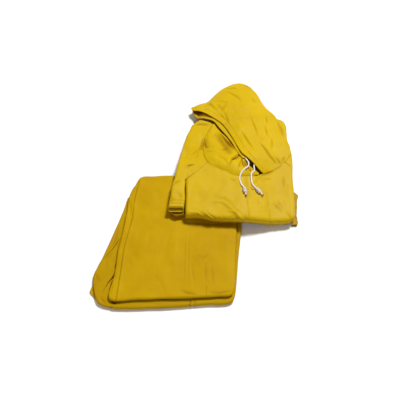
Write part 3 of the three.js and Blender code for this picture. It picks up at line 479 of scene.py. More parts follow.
def seam_relief(x, y, seams):
    """Grooves along rows of stitches, the felled width beside them and the small puckers that they draw."""
    height = np.zeros(x.shape)
    colour = np.zeros(x.shape)
    for seam in seams:
        away, place, total = along_route(x, y, np.array(seam.route, float))
        pucker = np.sin(place * total / PUCKER_PITCH * 2 * math.pi + 1.3 * np.sin(place * total / 31))
        height += seam.pucker * pucker * np.exp(-(away / 7) ** 2)
        height -= seam.groove * np.exp(-(away / 1.7) ** 2)
        beside = away * seam.side
        height += seam.felled * ease((seam.felled_width + 1.5 - beside) / 3) * ease(beside / 2 + 1)
        # painted shade in the groove of each row of stitches
        colour += 0.3 * np.exp(-(away / 1.5) ** 2)
    return height, colour


def seam(route, groove=0.5, pucker=0.3, felled=0.0, felled_width=9.0, side=1):
    return SimpleNamespace(route=route, groove=groove, pucker=pucker, felled=felled,
                           felled_width=felled_width, side=side)


def slack(x, y, z, size, height, start):
    """The uneven slackness of handled cloth: noise of the given size and height."""
    flat = zip(x.ravel() / size, y.ravel() / size, z.ravel() / size)
    values = [noise.noise((a + start, b - start, c))
              + 0.4 * noise.noise((2.3 * a - start, 2.1 * b, c + start)) for a, b, c in flat]
    return np.array(values).reshape(x.shape) * height


def relief_of(creases, seams=(), slack_size=45.0, slack_height=1.0, start=0.0, flat=None, scale=1.0,
              under=None):
    """The relief function of a piece; flat gives the pattern places where they differ from the grid's own.
    under gives the form's top, the depths below it between which painted shade darkens a fold's underside,
    and how strongly."""
    def relief(grid):
        x, y = (grid[:, :, 0], grid[:, :, 1]) if flat is None else (flat[:, :, 0], flat[:, :, 1])
        height, colour = crease_relief(x, y, creases)
        height = height * scale
        # painted shade on a fold's underside, deeper further below the form's top
        if under:
            top, first, last, most = under
            below = top(grid[:, :, 0], grid[:, :, 1]) - grid[:, :, 2]
            colour = colour + most * ease((below - first) / (last - first))
        sewn, sewn_colour = seam_relief(x, y, seams)
        height = height + sewn + slack(*np.moveaxis(grid, 2, 0), slack_size, slack_height, start)
        return height, np.clip(colour + sewn_colour, 0, 1)
    return relief


# Folded forms

FOLD_SAMPLES = 560


def folded_form(edge, top, centre=(0, 0)):
    """A folded form: its top, and the centre line and radius of the fold round its outer edge."""
    ring = centripetal(edge, FOLD_SAMPLES, True)
    around = np.roll(ring, -1, 0) - np.roll(ring, 1, 0)
    along = around[:, :2] / np.linalg.norm(around[:, :2], axis=1, keepdims=True)
    x, y, radius = ring.T
    line = np.stack([x - along[:, 1] * radius, y + along[:, 0] * radius, radius], 1)
    gaps = np.hypot(line[:, None, 0] - x, line[:, None, 1] - y).min(1)
    return SimpleNamespace(line=line[gaps > 0.96 * line[:, 2]], top=top, centre=centre)


CHUNK = 3000  # places compared with a fold line at a time


def nearest_fold(form, x, y):
    """Nearest places on a form's fold line: their x, y and radius, the distance, and whether inside."""
    a, b = form.line, np.roll(form.line, -1, 0)
    d = b - a
    found = []
    for start in range(0, len(x), CHUNK):
        px, py = x[start:start + CHUNK, None], y[start:start + CHUNK, None]
        along = (px - a[:, 0]) * d[:, 0] + (py - a[:, 1]) * d[:, 1]
        t = np.clip(along / (d[:, 0] ** 2 + d[:, 1] ** 2), 0, 1)
        away = np.hypot(px - a[:, 0] - d[:, 0] * t, py - a[:, 1] - d[:, 1] * t)
        best = away.argmin(1)
        pick = np.arange(len(best))
        foot = a[best] + d[best] * t[pick, best][:, None]
        with np.errstate(divide="ignore", invalid="ignore"):
            crossing = px < a[:, 0] + (py - a[:, 1]) / d[:, 1] * d[:, 0]
        inside = (((a[:, 1] > py) != (b[:, 1] > py)) & crossing).sum(1) % 2 == 1
        found.append(np.column_stack([foot, away[pick, best], inside]))
    return np.concatenate(found).T


def rounded(value, squareness):
    """A sine or cosine made squarer, so that a fold of many layers is boxier than a roll."""
    return np.sign(value) * np.abs(value) ** squareness


def lay(form, flat, lift, squareness=1.0):
    """A flat pattern laid on a form and turned down round its fold."""
    x, y = flat[..., 0].ravel(), flat[..., 1].ravel()
    lift = np.broadcast_to(lift, flat.shape[:-1]).ravel()
    foot_x, foot_y, radius, distance, inside = nearest_fold(form, x, y)
    on_top = (inside > 0.5) | (distance < 1e-6)
    away = np.maximum(distance, 1e-6)
    turn = distance / radius
    reach = (radius + lift) * rounded(np.sin(turn), squareness)
    height = (radius + lift) * rounded(np.cos(turn), squareness)
    turned = np.stack([foot_x + (x - foot_x) / away * reach, foot_y + (y - foot_y) / away * reach,
                       form.top(foot_x, foot_y) - radius + height], -1)
    level = np.stack([x, y, form.top(x, y) + lift], -1)
    return np.where(on_top[:, None], level, turned).reshape(*flat.shape[:-1], 3)


def panel_grid(form, rows, sides, row_count, across, lift=0.0, smooth=True, squareness=1.0):
    """Flat pattern and laid points of a panel whose rows run from one side to the other."""
    last = len(next(iter(rows.values()))) - 1
    places = np.linspace(0, last, row_count)
    at = rows_at(rows, places, smooth)
    s = np.asarray(across)[None, :]
    start, end = sides
    flat = np.stack([mix(at[f"{start}_{axis}"][:, None], at[f"{end}_{axis}"][:, None], s) for axis in "xy"],
                    -1)
    lifts = lift(places)[:, None] if callable(lift) else lift
    return flat, lay(form, flat, lifts, squareness)


def spread_across(middle, start_fold, end_fold, fold_steps=16):
    """Fractions of a width, closer together at the folded ends."""
    parts = [np.linspace(start_fold, 1 - end_fold, middle + 1)]
    if start_fold:
        parts.insert(0, np.linspace(0, start_fold, fold_steps + 1)[:-1])
    if end_fold:
        parts.append(np.linspace(1 - end_fold, 1, fold_steps + 1)[1:])
    return np.concatenate(parts)


# Drawcord: two free ends with a knot each, from the throat down over the chest

def jacket_base(x, y):
    return JACKET_BASE * (1 - ease((x - 130) / 156)) * (1 - ease((y - 93) / 142))


def jacket_top(x, y):
    return jacket_base(x, y) + JACKET_THICKNESS - SHOULDER_THINNING * ease((y - 180) / 150)


CORD_SIDES = 24
STRANDS = 3
STRAND_PITCH = 15.0


def twisted_rope(path, radius, depth=0.17):
    """Rings of a laid rope round a path: three strands twisted together with grooves between them."""
    tangent = np.gradient(path, axis=0)
    tangent /= np.linalg.norm(tangent, axis=1, keepdims=True)
    first = np.cross(tangent[0], [0, 0, 1.0])
    sideways = [first / np.linalg.norm(first)]
    for t in tangent[1:]:
        kept = sideways[-1] - t * sideways[-1].dot(t)
        sideways.append(kept / np.linalg.norm(kept))
    sideways = np.array(sideways)
    upward = np.cross(tangent, sideways)
    travelled = np.concatenate([[0], np.cumsum(np.linalg.norm(np.diff(path, axis=0), axis=1))])[:, None]
    angle = np.linspace(0, 2 * math.pi, CORD_SIDES, endpoint=False)[None, :]
    twist = 2 * math.pi * travelled / STRAND_PITCH
    strand = np.abs(np.cos(STRANDS / 2 * (angle + twist)))
    swell = np.asarray(radius).reshape(-1, 1) * (1 + depth * (strand - 0.62))
    rings = path[:, None] + swell[..., None] * (
        np.cos(angle)[..., None] * sideways[:, None] + np.sin(angle)[..., None] * upward[:, None])
    # the second value is painted shade, deepest in the grooves between strands
    return rings, 0.5 * (1 - strand) ** 1.6


def tube_faces(count, sides, start=0):
    index = np.arange(count * sides).reshape(count, sides) + start
    after = np.roll(index, -1, 1)
    quads = np.stack([index[:-1], after[:-1], after[1:], index[1:]], -1).reshape(-1, 4)
    return [*quads.tolist(), index[0][::-1].tolist(), index[-1].tolist()]


KNOT_LENGTH = 22.0
TAIL_END = 36.0
KNOT_TURNS = 2.6
KNOT_RADIUS = 4.2
KNOT_STRAND = 2.6
MELTED_TIP = 7.0


def knot_piece(name, end, along, tip, node_name):
    """A barrel knot: the cord wound round itself and drawn tight, then its short melted tail."""
    tip = np.array(tip, float) / np.linalg.norm(tip)
    start = end + np.array(along) * SEAM_GAP + tip * 0.6
    core_steps = np.linspace(0, TAIL_END, 60)
    core = start + tip * core_steps[:, None]
    bead = ease((TAIL_END - core_steps) / 1.6)
    core_rings, core_tone = twisted_rope(core, 2.35 * np.sqrt(np.maximum(bead, 0.02)))
    core_tone = core_tone + 0.95 * ease((core_steps - TAIL_END + MELTED_TIP) / 2.5)[:, None]
    side = np.cross(tip, [0, 0, 1.0])
    side /= np.linalg.norm(side)
    over = np.cross(side, tip)
    wound = np.linspace(0, 1, 130)
    turn = wound * KNOT_TURNS * 2 * math.pi
    tuck = np.sqrt(np.clip(np.minimum(wound, 1 - wound) * 9, 0, 1))
    radius = mix(1.2, KNOT_RADIUS, tuck)
    coil = (start + tip * mix(2.6, KNOT_LENGTH - 2.2, wound)[:, None]
            + side * (np.cos(turn) * radius)[:, None] + over * (np.sin(turn) * radius)[:, None])
    coil_rings, coil_tone = twisted_rope(coil, np.full(len(coil), KNOT_STRAND))
    points = np.concatenate([core_rings.reshape(-1, 3), coil_rings.reshape(-1, 3)])
    faces = tube_faces(len(core), CORD_SIDES) + tube_faces(len(coil), CORD_SIDES, len(core) * CORD_SIDES)
    tone = np.concatenate([np.broadcast_to(core_tone, core_rings.shape[:2]).ravel(), coil_tone.ravel()])
    return place_piece(name, points, faces, CORD_ROPE, [node_name], tone)


def drawcord(side, route, tip):
    """One free end of the drawcord, through the points that its solid follows."""
    spots = [(x, y, jacket_top(x, y) + above) for x, y, above in route]
    path = centripetal(spots, 260, False)
    rings, tone = twisted_rope(path, np.full(len(path), CORD_RADIUS))
    piece = place_piece(f"drawcord_{side}_rope", rings.reshape(-1, 3), tube_faces(len(path), CORD_SIDES),
                        CORD_ROPE, [f"drawcord_{side}"], tone)
    tangent = path[-1] - path[-2]
    knot = knot_piece(f"drawcord_{side}_barrel_knot", path[-1], tangent / np.linalg.norm(tangent), tip,
                      f"drawcord_{side}_knot")


drawcord("right", [
    (161.4, 131.6, 6.2), (165, 122, 9), (170, 108, 11), (168, 94, 10.5), (149, 73, 10.5),
    (141, 59, 8), (136.5, 43, 3.6), (142, 19, 3.4), (150, 6, 5.5)], (0.2, -1, 0.02))
drawcord("left", [
    (191, 111, 7), (189, 95, 7.5), (189, 80, 7.5), (180, 69, 8.5), (177, 49, 6),
    (179, 28, 5.2), (184, 17, 6.6), (192, 7, 7.6)], (0.66, -0.68, -0.17))


# Hidden layers

def fold_at_angles(form, count):
    """The fold line of a form at even angles round its centre, with the line's outward direction."""
    cx, cy = form.centre
    a, b = form.line, np.roll(form.line, -1, 0)
    d = b - a
    spots = []
    for angle in np.linspace(0, 2 * math.pi, count, endpoint=False):
        ux, uy = math.cos(angle), math.sin(angle)
        cross = ux * d[:, 1] - uy * d[:, 0]
        t = ((cx - a[:, 0]) * uy - (cy - a[:, 1]) * ux) / -cross
        far = ((a[:, 0] - cx) * d[:, 1] - (a[:, 1] - cy) * d[:, 0]) / cross
        hit = np.where((t >= 0) & (t < 1) & (far > 0), far, np.inf)
        i = int(hit.argmin())
        x, y, radius = a[i] + d[i] * t[i]
        outward = np.array([d[i, 1], -d[i, 0]]) / np.hypot(*d[i, :2])
        spots.append((x, y, radius, *outward))
    return np.array(spots).T


TOP_SINK = 2.5  # mm that the middle of a tier's hidden layers lies below its inset
LEAST_DEPTH = 0.6
FREE_DEPTH = 5  # mm of depth above which a tier's edge bulges, in full 9 mm deeper
FREE_RANGE = 9


def layered_rings(form, base, count, inset, layers, bulge, start):
    """Rings of a tier of hidden layers: its top, its round edge, then uneven folded layers below."""
    x, y, radius, out_x, out_y = fold_at_angles(form, count)
    cx, cy = form.centre
    rings = []
    for scale in np.linspace(0.1, 1, 12):
        px, py = mix(cx, x, scale), mix(cy, y, scale)
        rings.append(np.stack([px, py, form.top(px, py) - inset - TOP_SINK], -1))
    turns = np.linspace(0.25, 2.5, 8)
    for turn in turns:
        reach = (radius - inset) * np.sin(turn)
        z = form.top(x, y) - radius + (radius - inset) * np.cos(turn)
        rings.append(np.stack([x + out_x * reach, y + out_y * reach, z], -1))
    z0 = form.top(x, y) - radius + (radius - inset) * math.cos(turns[-1])
    depth = np.maximum(z0 - base(x, y), LEAST_DEPTH)
    free = np.clip((depth - FREE_DEPTH) / FREE_RANGE, 0, 1)
    for layer in range(layers):
        wander = np.array([noise.noise((a / 60, b / 60, start + 3.7 * layer)) for a, b in zip(x, y)])
        for share in np.linspace(0.08, 1, 6):
            swell = math.sin(math.pi * share) ** 0.6
            drop = (layer + share) / layers
            reach = (radius - inset) * mix(math.sin(turns[-1]) * (0.85 - drop * 0.6),
                                           bulge * (0.55 + 0.45 * swell) * (1 + 0.3 * wander), free)
            rings.append(np.stack([x + out_x * reach, y + out_y * reach, z0 - depth * drop], -1))
    return rings


def ring_faces(count, size):
    """Faces of rings of points between a first and a last point."""
    index = 1 + np.arange(count * size).reshape(count, size)
    after = np.roll(index, -1, 1)
    end = 1 + count * size
    faces = [(0, int(i), int(j)) for i, j in zip(index[0], after[0])]
    faces += np.stack([index[:-1], index[1:], after[1:], after[:-1]], -1).reshape(-1, 4).tolist()
    faces += [(end, int(j), int(i)) for i, j in zip(index[-1], after[-1])]
    return faces


def hidden_layers(name, rings, first, last, material, node_name):
    """One closed body of hidden layers from its rings, all evenly darkened by painted shade."""
    points = np.concatenate([[first], *rings, [last]])
    pattern = np.stack([np.arctan2(points[:, 1], points[:, 0]) * 250, points[:, 2]], -1)
    return place_piece(name, points, ring_faces(len(rings), len(rings[0])), material, [node_name],
                       np.full(len(points), 0.35), pattern)


# Trousers

TROUSER_CENTRE = (-85, -160)
UPPER_TIER_FOOT = 16.6

LEG_ROWS = table(
    "back_x back_y seam_x seam_y front_x front_y",
    (-216, 84, -210, 88, 137, 96),
    (-229, 64, -213, 69, 144.5, 80),
    (-240, 44, -217, 42, 144, 44),
    (-256, -6, -225, -5, 140, -5),
    (-262, -64, -229, -62, 136, -64),
    (-268.5, -129, -237, -129, 134, -128),
    (-281, -204, -251, -204, 128.5, -202),
    (-287, -288, -256.5, -286, 123, -284),
    (-294, -372, -263.5, -377, 114.5, -361),
    (-291, -390, -265, -395, 102.5, -377.5))

upper_bundle = folded_form([(x, y, UPPER_FOLD_RADIUS) for x, y in (
    (-286, -384), (-188, -385), (-118, -383), (-12, -379), (58, -375), (99, -371), (107, -355), (116, -242),
    (124, -125), (131, 0), (136, 78), (129, 90), (0, 88), (-156, 84), (-207, 79), (-230, 42), (-246, 0),
    (-251, -65), (-258, -129), (-270, -200), (-276, -300))],
    lambda x, y: UPPER_BUNDLE_TOP + 0 * x, TROUSER_CENTRE)
lower_bundle = folded_form([(x, y, LOWER_FOLD_RADIUS) for x, y in (
    (-277, -407), (-146, -407), (-65, -403), (23, -395), (98, -389), (108, -372), (125, -234), (138, -125),
    (142, 0), (141, 76), (130, 86), (0, 83), (-150, 79), (-212, 74), (-238, 48), (-253, 0), (-262, -40),
    (-297, -155), (-334, -266), (-346, -298), (-341, -345), (-331, -378), (-320, -394))],
    lambda x, y: LOWER_BUNDLE_TOP + 0 * x, TROUSER_CENTRE)

SIDE_SEAM = [(-213, 69), (-214, 60), (-222, 13), (-229, -32), (-228, -90), (-237, -129), (-251, -204),
             (-256, -285), (-263, -370), (-265, -395)]

# Painted shadow of the jacket that lies on the trousers: no depth, only a darker colour
JACKET_SHADE = crease(
    [(-108, -84), (-72, -92), (-50, -106), (-34, -115), (33, -117), (136, -119), (196, -119)], 14, 0, 0, 0.75)
TROUSER_FRONT_CREASES = [
    crease([(-34, -118), (-37, -184), (-38, -245), (-37, -350)], 3.2, -1.1, 0.4),
    crease([(-48, -130), (-48, -204), (-50, -265), (-51, -335)], 3.6, -1.0),
    crease([(-42, -120), (-43, -200), (-44, -350)], 4.5, 0.8),
    crease([(-106, -120), (-98, -146), (-109, -184), (-115, -221), (-121, -265)], 8, -1.5),
    crease([(-13, -229), (9, -243), (31, -225)], 4, -1.6, 0.8),
    crease([(-27, -257), (-21, -309), (-12, -340)], 4.5, -1.3),
    crease([(16, -255), (18, -290), (20, -334)], 5, -1.4, 0.5),
    crease([(19, -336), (19, -356), (18, -378)], 3, -2.0, 0.8),
    crease([(-172, -330), (-155, -297)], 8, -1.2),
    crease([(-155, -297), (-126, -324), (-104, -372)], 6, -1.3, 0.5, 0.1),
    crease([(-240, -238), (-217, -281)], 8, -1.6),
    crease([(-232, -205), (-200, -262)], 14, -2.2),
    crease([(-187, -262), (-176, -330)], 8, -1.1),
    crease([(-66, -350), (-47, -362), (-8, -372)], 6, -2.6, 1.0),
    crease([(24, -362), (58, -366), (108, -356)], 7, -2.6),
    crease([(-156, 30), (-148, 0), (-140, -32)], 13, -2.8),
    crease([(-176, -30), (-200, -42), (-224, -46)], 13, -3.0),
    crease([(-140, -58), (-124, -104)], 13, -2.4),
    crease([(-168, -136), (-174, -214)], 9, -1.5),
    crease([(-206, -136), (-207, -206)], 9, -1.3),
    crease([(54, -136), (57, -204), (51, -262)], 10, -1.2),
    crease([(38, -262), (44, -350)], 6, -1.2),
    crease([(88, -150), (92, -250), (84, -350)], 16, 1.6),
    crease([(-2, -140), (-6, -220)], 12, 1.4),
    crease([(-80, -130), (-86, -240), (-78, -340)], 14, 1.8),
    crease([(-142, -215), (-150, -285)], 13, 1.8),
    crease([(-215, -295), (-225, -360)], 12, 1.5),
    crease([(-190, -60), (-180, -120)], 16, 1.6),
    JACKET_SHADE,
]
TROUSER_BACK_CREASES = [
    crease([(-243, -22), (-241, -50), (-240, -86)], 10, -4.5),
    crease([(-276, -299), (-268, -316)], 3, -2.2),
    crease([(-276, -335), (-283, -368)], 3, -1.8, 0.8),
    crease([(-262, -160), (-268, -215)], 5, -1.2),
    crease([(-236, 30), (-226, 62)], 5, -1.5),
]
trouser_flat, trouser_front = panel_grid(
    upper_bundle, {**LEG_ROWS, "seam_x": LEG_ROWS["seam_x"] + SEAM_GAP}, ("seam", "front"), 230,
    spread_across(140, 0.07, 0.053, 12))
# The fold undersides of the right leg's panels darken with painted shade, by relief_of's last argument.
trouser_front = trouser_shell(
    "trousers_right_leg_front", trouser_front,
    relief_of(TROUSER_FRONT_CREASES, [seam(SIDE_SEAM, 0.6, 0.3, 0.7, 9, 1)], 60, 1.3, 3.1, trouser_flat,
              0.5, (upper_bundle.top, 4.0, 9, 1.0)))
back_flat, trouser_back = panel_grid(upper_bundle, LEG_ROWS, ("back", "seam"), 170,
                                     spread_across(10, 0.6, 0, 16))
trouser_shell(
    "trousers_right_leg_back", trouser_back,
    relief_of(TROUSER_BACK_CREASES, [], 50, 0.9, 7.7, back_flat, 0.8, (upper_bundle.top, 6, 12, 0.9)))

LOWER_FRONT_ROWS = table(
    "out_x out_y in_x in_y",
    (-261, 3, -247, 0), (-271, -38, -249, -38), (-284, -88, -251, -86), (-305.5, -158, -266, -150),
    (-323, -206, -291, -200), (-340, -256, -324, -244))
LOWER_BACK_ROWS = table(
    "out_x out_y in_x in_y",
    (-258, -84, -250.5, -80), (-264, -136, -256, -134), (-276, -179, -263.5, -178), (-303, -220, -269, -222),
    (-334, -257, -271.5, -260), (-346, -276, -273, -284), (-355, -300, -274, -306),
    (-350, -350, -278.5, -345),
    (-334, -389, -284.5, -377), (-325, -401, -277.5, -393), (-292, -411, -264, -399))
TURNED_EDGE_ROWS = table(
    "out_x out_y in_x in_y",
    (-286, -415, -262, -391), (-220, -415.5, -216, -382.5), (-146, -415.5, -146, -381.5),
    (-65, -413, -65, -379),
    (23, -405, 23, -374.5), (88, -399, 84, -370), (106, -391, 101, -366), (118, -372, 105, -352),
    (127, -300, 110, -296), (135, -234, 114, -234), (148, -125, 121.5, -125), (152, 0, 128.5, 0),
    (151, 74, 133, 66))

LOWER_FRONT_CREASES = [
    crease([(-277, -110), (-284, -171), (-310, -218)], 3.5, -1.4, 0.6),
    crease([(-262, -20), (-268, -60)], 4, -1.4),
]
LOWER_BACK_CREASES = [
    crease([(-272, -292), (-295, -321), (-316, -360)], 2.6, -3.4, 1.8),
    crease([(-340, -292), (-320, -322)], 6, -1.6),
    crease([(-325, -300), (-332, -340)], 7, 1.2),
    crease([(-296, -240), (-300, -276)], 9, 1.4),
    crease([(-318, -372), (-296, -398)], 5, -1.6),
    crease([(-288, -208), (-312, -246)], 5, -1.2),
]
TURNED_EDGE_CREASES = [
    crease([(-26, -376), (-31, -390), (-37, -414)], 3.4, -3.0, 1.8),
    crease([(-14, -378), (-18, -396), (-22, -412)], 4, -1.4, 0.8),
    crease([(-268, -398), (-252, -388)], 4, -1.8),
    crease([(-180, -394), (-120, -395)], 3.5, -0.9),
    crease([(40, -391), (84, -386)], 3, -1.0),
]

# Painted shade over the left leg's panels, which lie lower, in more shade
LOWER_TIER_SHADE = 0.16


def lower_back_lift(places):
    return (CLOTH_WALL + LAYER_GAP) * (1 - ease((places - 4.5) / 2.5))


def lower_tier_panel(node_name, rows, row_count, across, creases, slack_of_piece, lift=0.0):
    """One panel of the left leg, which lies folded under the right one."""
    flat, laid = panel_grid(lower_bundle, rows, ("out", "in"), row_count, across, lift)
    trouser_shell(node_name, laid, relief_of(creases, [], *slack_of_piece, flat), LOWER_TIER_SHADE)


lower_tier_panel("trousers_left_leg_front", LOWER_FRONT_ROWS, 100, spread_across(12, 0.5, 0, 12),
                 LOWER_FRONT_CREASES, (40, 0.5, 1.3))
lower_tier_panel("trousers_left_leg_back", LOWER_BACK_ROWS, 130, spread_across(24, 0.28, 0, 12),
                 LOWER_BACK_CREASES, (40, 0.6, 4.4), lower_back_lift)
lower_tier_panel("trousers_left_leg_turned_edge", TURNED_EDGE_ROWS, 330, spread_across(9, 0.62, 0, 14),
                 TURNED_EDGE_CREASES, (45, 0.6, 9.2), CLOTH_WALL + LAYER_GAP)

HEM_CORNER_ROWS = table(
    "inner_x inner_y outer_x outer_y",
    (-334, -316, -341, -319), (-334, -326, -349, -333), (-332, -338, -353.5, -349), (-330, -350, -350, -356),
    (-327, -362, -341, -366), (-322, -374, -332, -379))
HEM_CORNER_HEIGHT = 4.2
HEM_CORNER_ROLL = 1.1


def hem_corner_grid():
    """The corner of the hem that peeps out flat at the left, doubled over on itself."""
    at = {name: column[:, None] for name, column in rows_at(HEM_CORNER_ROWS, np.linspace(0, 5, 40)).items()}
    columns = [(s, 0.0) for s in np.linspace(0, 1, 9)]
    columns += [(1.0, HEM_CORNER_ROLL * (math.cos(turn) - 1)) for turn in np.linspace(0.4, math.pi - 0.4, 6)]
    columns += [(s, -2 * HEM_CORNER_ROLL) for s in np.linspace(1, 0, 7)]
    s = np.array([share for share, _ in columns])[None, :]
    z = HEM_CORNER_HEIGHT + np.array([depth for _, depth in columns])[None, :] + 0 * at["inner_x"]
    return np.stack([mix(at["inner_x"], at["outer_x"], s), mix(at["inner_y"], at["outer_y"], s), z], -1)


cloth_shell("trousers_left_leg_hem_corner_cloth", hem_corner_grid(), TROUSER_CLOTH, [], 1,
            relief_of([crease([(-336, -334), (-352, -346)], 2.6, -0.8)], [], 22, 0.3, 6.1),
            wall=0.9)

TIER_COLUMNS = 300
CORE_INSET = CLOTH_WALL + 2.4
upper_tier = layered_rings(upper_bundle, lambda x, y: UPPER_TIER_FOOT + 0 * x, TIER_COLUMNS, CORE_INSET,
                           2, 0.8, 1.0)
lower_tier = layered_rings(lower_bundle, lambda x, y: 0 * x, TIER_COLUMNS, CORE_INSET, 2, 0.8, 2.0)[11:]
trouser_middle = np.array([*TROUSER_CENTRE, 0.0])
hidden_layers(
    "trousers_folded_layers",
    [*upper_tier, *lower_tier, mix(trouser_middle, lower_tier[-1] * [1, 1, 0], 0.5)],
    trouser_middle + [0, 0, UPPER_BUNDLE_TOP - CORE_INSET - TOP_SINK], trouser_middle,
    TROUSER_INSIDE_PAINTED_SHADE, "trousers_inner_layers")


# Jacket body

RAGLAN = [(27, 118), (10, 97), (-10, 76), (-29, 58), (-48, 41)]
VALLEY_X = -48
BODY_SIDE_RADIUS = 9


def sleeve_side(x, y):
    seam_x = mix(VALLEY_X, RAGLAN[0][0], np.clip((y - 41) / 77, 0, 1))
    return 1 - ease((x - seam_x - 22) / 20)


def stack_top(x, y):
    return jacket_top(x, y) - (SLEEVE_HEIGHT - CLOTH_WALL) * sleeve_side(x, y) * (1 - ease((y - 112) / 50))


def body_top(x, y):
    past = np.clip((VALLEY_X + BODY_SIDE_RADIUS - x) / BODY_SIDE_RADIUS, 0, 1) * (1 - ease((y - 38) / 12))
    return jacket_top(x, y) - BODY_SIDE_RADIUS * (1 - np.sqrt(1 - past * past * 0.98))


NEAR_AND_RIGHT_EDGE = [
    (2, -98, NEAR_FOLD_RADIUS), (45, -108, NEAR_FOLD_RADIUS), (125, -109, NEAR_FOLD_RADIUS),
    (200, -106, NEAR_FOLD_RADIUS), (262, -102, 17), (309, -95, 13), (321, -80, SIDE_FOLD_RADIUS),
    (324, -40, SIDE_FOLD_RADIUS), (325, 20, SIDE_FOLD_RADIUS), (327, 86, SIDE_FOLD_RADIUS),
    (331, 150, SIDE_FOLD_RADIUS), (327, 206, SIDE_FOLD_RADIUS), (320, 250, SIDE_FOLD_RADIUS),
    (321, 296, SIDE_FOLD_RADIUS), (315, 330, SIDE_FOLD_RADIUS), (290, 344, SIDE_FOLD_RADIUS)]
JACKET_CENTRE = (110, 110)
jacket_body = folded_form([
    (-130, -97, NEAR_FOLD_RADIUS), (-60, -98, NEAR_FOLD_RADIUS), *NEAR_AND_RIGHT_EDGE,
    (100, 345, SIDE_FOLD_RADIUS), (-130, 345, SIDE_FOLD_RADIUS)], body_top, JACKET_CENTRE)
jacket_stack = folded_form([
    (-96, -90, 8), (-81, -98, 8), (-62, -94, 8.5), (-45, -91, 9), (-25, -91, 9.5), (-10, -93, 13),
    *NEAR_AND_RIGHT_EDGE, (200, 342, 10), (100, 342, 10), (30, 332, 8), (-13, 302, 8), (-35, 262, 8),
    (-47, 207, 8), (-57, 150, 8), (-62, 112, 8), (-79, 80, 8), (-94, 10, 8), (-102, -44, 8), (-104, -78, 8)],
    stack_top, JACKET_CENTRE)

NEAR_SQUARENESS = 0.72


def sagged(points):
    """Points of the jacket near its long near fold, which sags a few millimetres outwards, most at its
    right."""
    sag = mix(3.0, 6.5, ease((points[..., 0] - 20) / 200)) * ease((-55 - points[..., 1]) / 45)
    sag = sag * ease((points[..., 0] + 60) / 30)
    return points - np.stack([0 * sag, sag, 0 * sag], -1)


stack_rings = layered_rings(jacket_stack, jacket_base, 340, CLOTH_WALL + 1.8, 4, 0.86, 5.0)
stack_foot = stack_rings[-1]
stack_under = []
for scale in (0.84, 0.66, 0.48, 0.32, 0.18):
    px, py = mix(JACKET_CENTRE[0], stack_foot[:, 0], scale), mix(JACKET_CENTRE[1], stack_foot[:, 1], scale)
    stack_under.append(np.stack([px, py, jacket_base(px, py)], -1))
hidden_layers(
    "jacket_folded_layers", [*(sagged(ring) for ring in stack_rings), *stack_under],
    np.array([*JACKET_CENTRE, stack_top(*map(float, JACKET_CENTRE)) - CLOTH_WALL - 4.3]),
    np.array([*JACKET_CENTRE, jacket_base(*map(float, JACKET_CENTRE))]),
    JACKET_INSIDE_PAINTED_SHADE, "jacket_inner_layers")

FRONT_RIGHT_ROWS = table(
    "far_x far_y near_x near_y",
    *[(x + 0.3, y, nx, ny) for (x, y), (nx, ny) in zip(
        RAGLAN[::-1], ((-47.7, -116), (-36, -125), (-22, -126), (-6, -127), (14, -129)))],
    (52, 96, 44, -136.5), (95, 77, 86, -138), (120, 63, 116, -138), (150, 60, 148, -137.5),
    (175, 61, 174, -136.5), (195.8, 62, 195.8, -135.5))
FRONT_LEFT_ROWS = table(
    "far_x far_y near_x near_y",
    (196.2, 62, 196.2, -135.5), (221, 78, 219, -134), (262, 103, 256, -129), (288, 126, 280, -124),
    (302, 138, 300, -117), (311, 127.5, 315, -110), (325, 108.5, 327, -100), (342, 86, 335.5, -87))
FLAP_ROWS = table(
    "free_x free_y sewn_x sewn_y",
    (158, 51, 228, 68), (160, 10, 230, 10), (164, -60, 234, -60), (166, -88, 236, -86),
    (167, -137, 237, -132))

FRONT_RIGHT_CREASES = [
    crease([(36, -50), (77, -54), (106, -78), (134, -112)], 6, -2.4, 1.5, 0.28),
    crease([(14, -84), (26, -97), (38, -108), (52, -122)], 3.6, -4.4, 3.2, 0.75),
    crease([(-14, -82), (0, -94), (14, -106)], 3.6, -2.6, 1.6),
    crease([(-36, -86), (-18, -88), (-2, -90)], 4, -1.8, 0.8),
    crease([(26, -14), (78, -3), (130, -14)], 13, -1.5),
    crease([(88, -80), (121, -93), (146, -118)], 4.4, -2.8, 1.4, 0.5),
    crease([(66, -96), (72, -112), (82, -126)], 4, -1.8, 1.0),
    crease([(112, -104), (106, -124)], 4, -1.6),
    crease([(-34, -100), (-28, -114)], 4, -1.8),
    crease([(-42, 30), (-44, -6), (-44, -75)], 5, -1.0),
    crease([(60, -60), (90, -40)], 14, 1.6),
    crease([(10, -50), (-8, -20)], 14, 1.2),
    crease([(100, 20), (140, 10)], 16, 1.2),
    crease([(153, 90), (155, 40), (157, -10), (161, -60), (163, -90), (164, -170)], 2.4, -2.0),
    crease([(48, -20), (84, -26), (116, -46)], 12, -1.3),
    crease([(150, -84), (156, -100), (154, -118)], 4, -1.8, 1.0),
    crease([(138, 46), (120, 40), (104, 46)], 5, -1.2, 0.6),
]
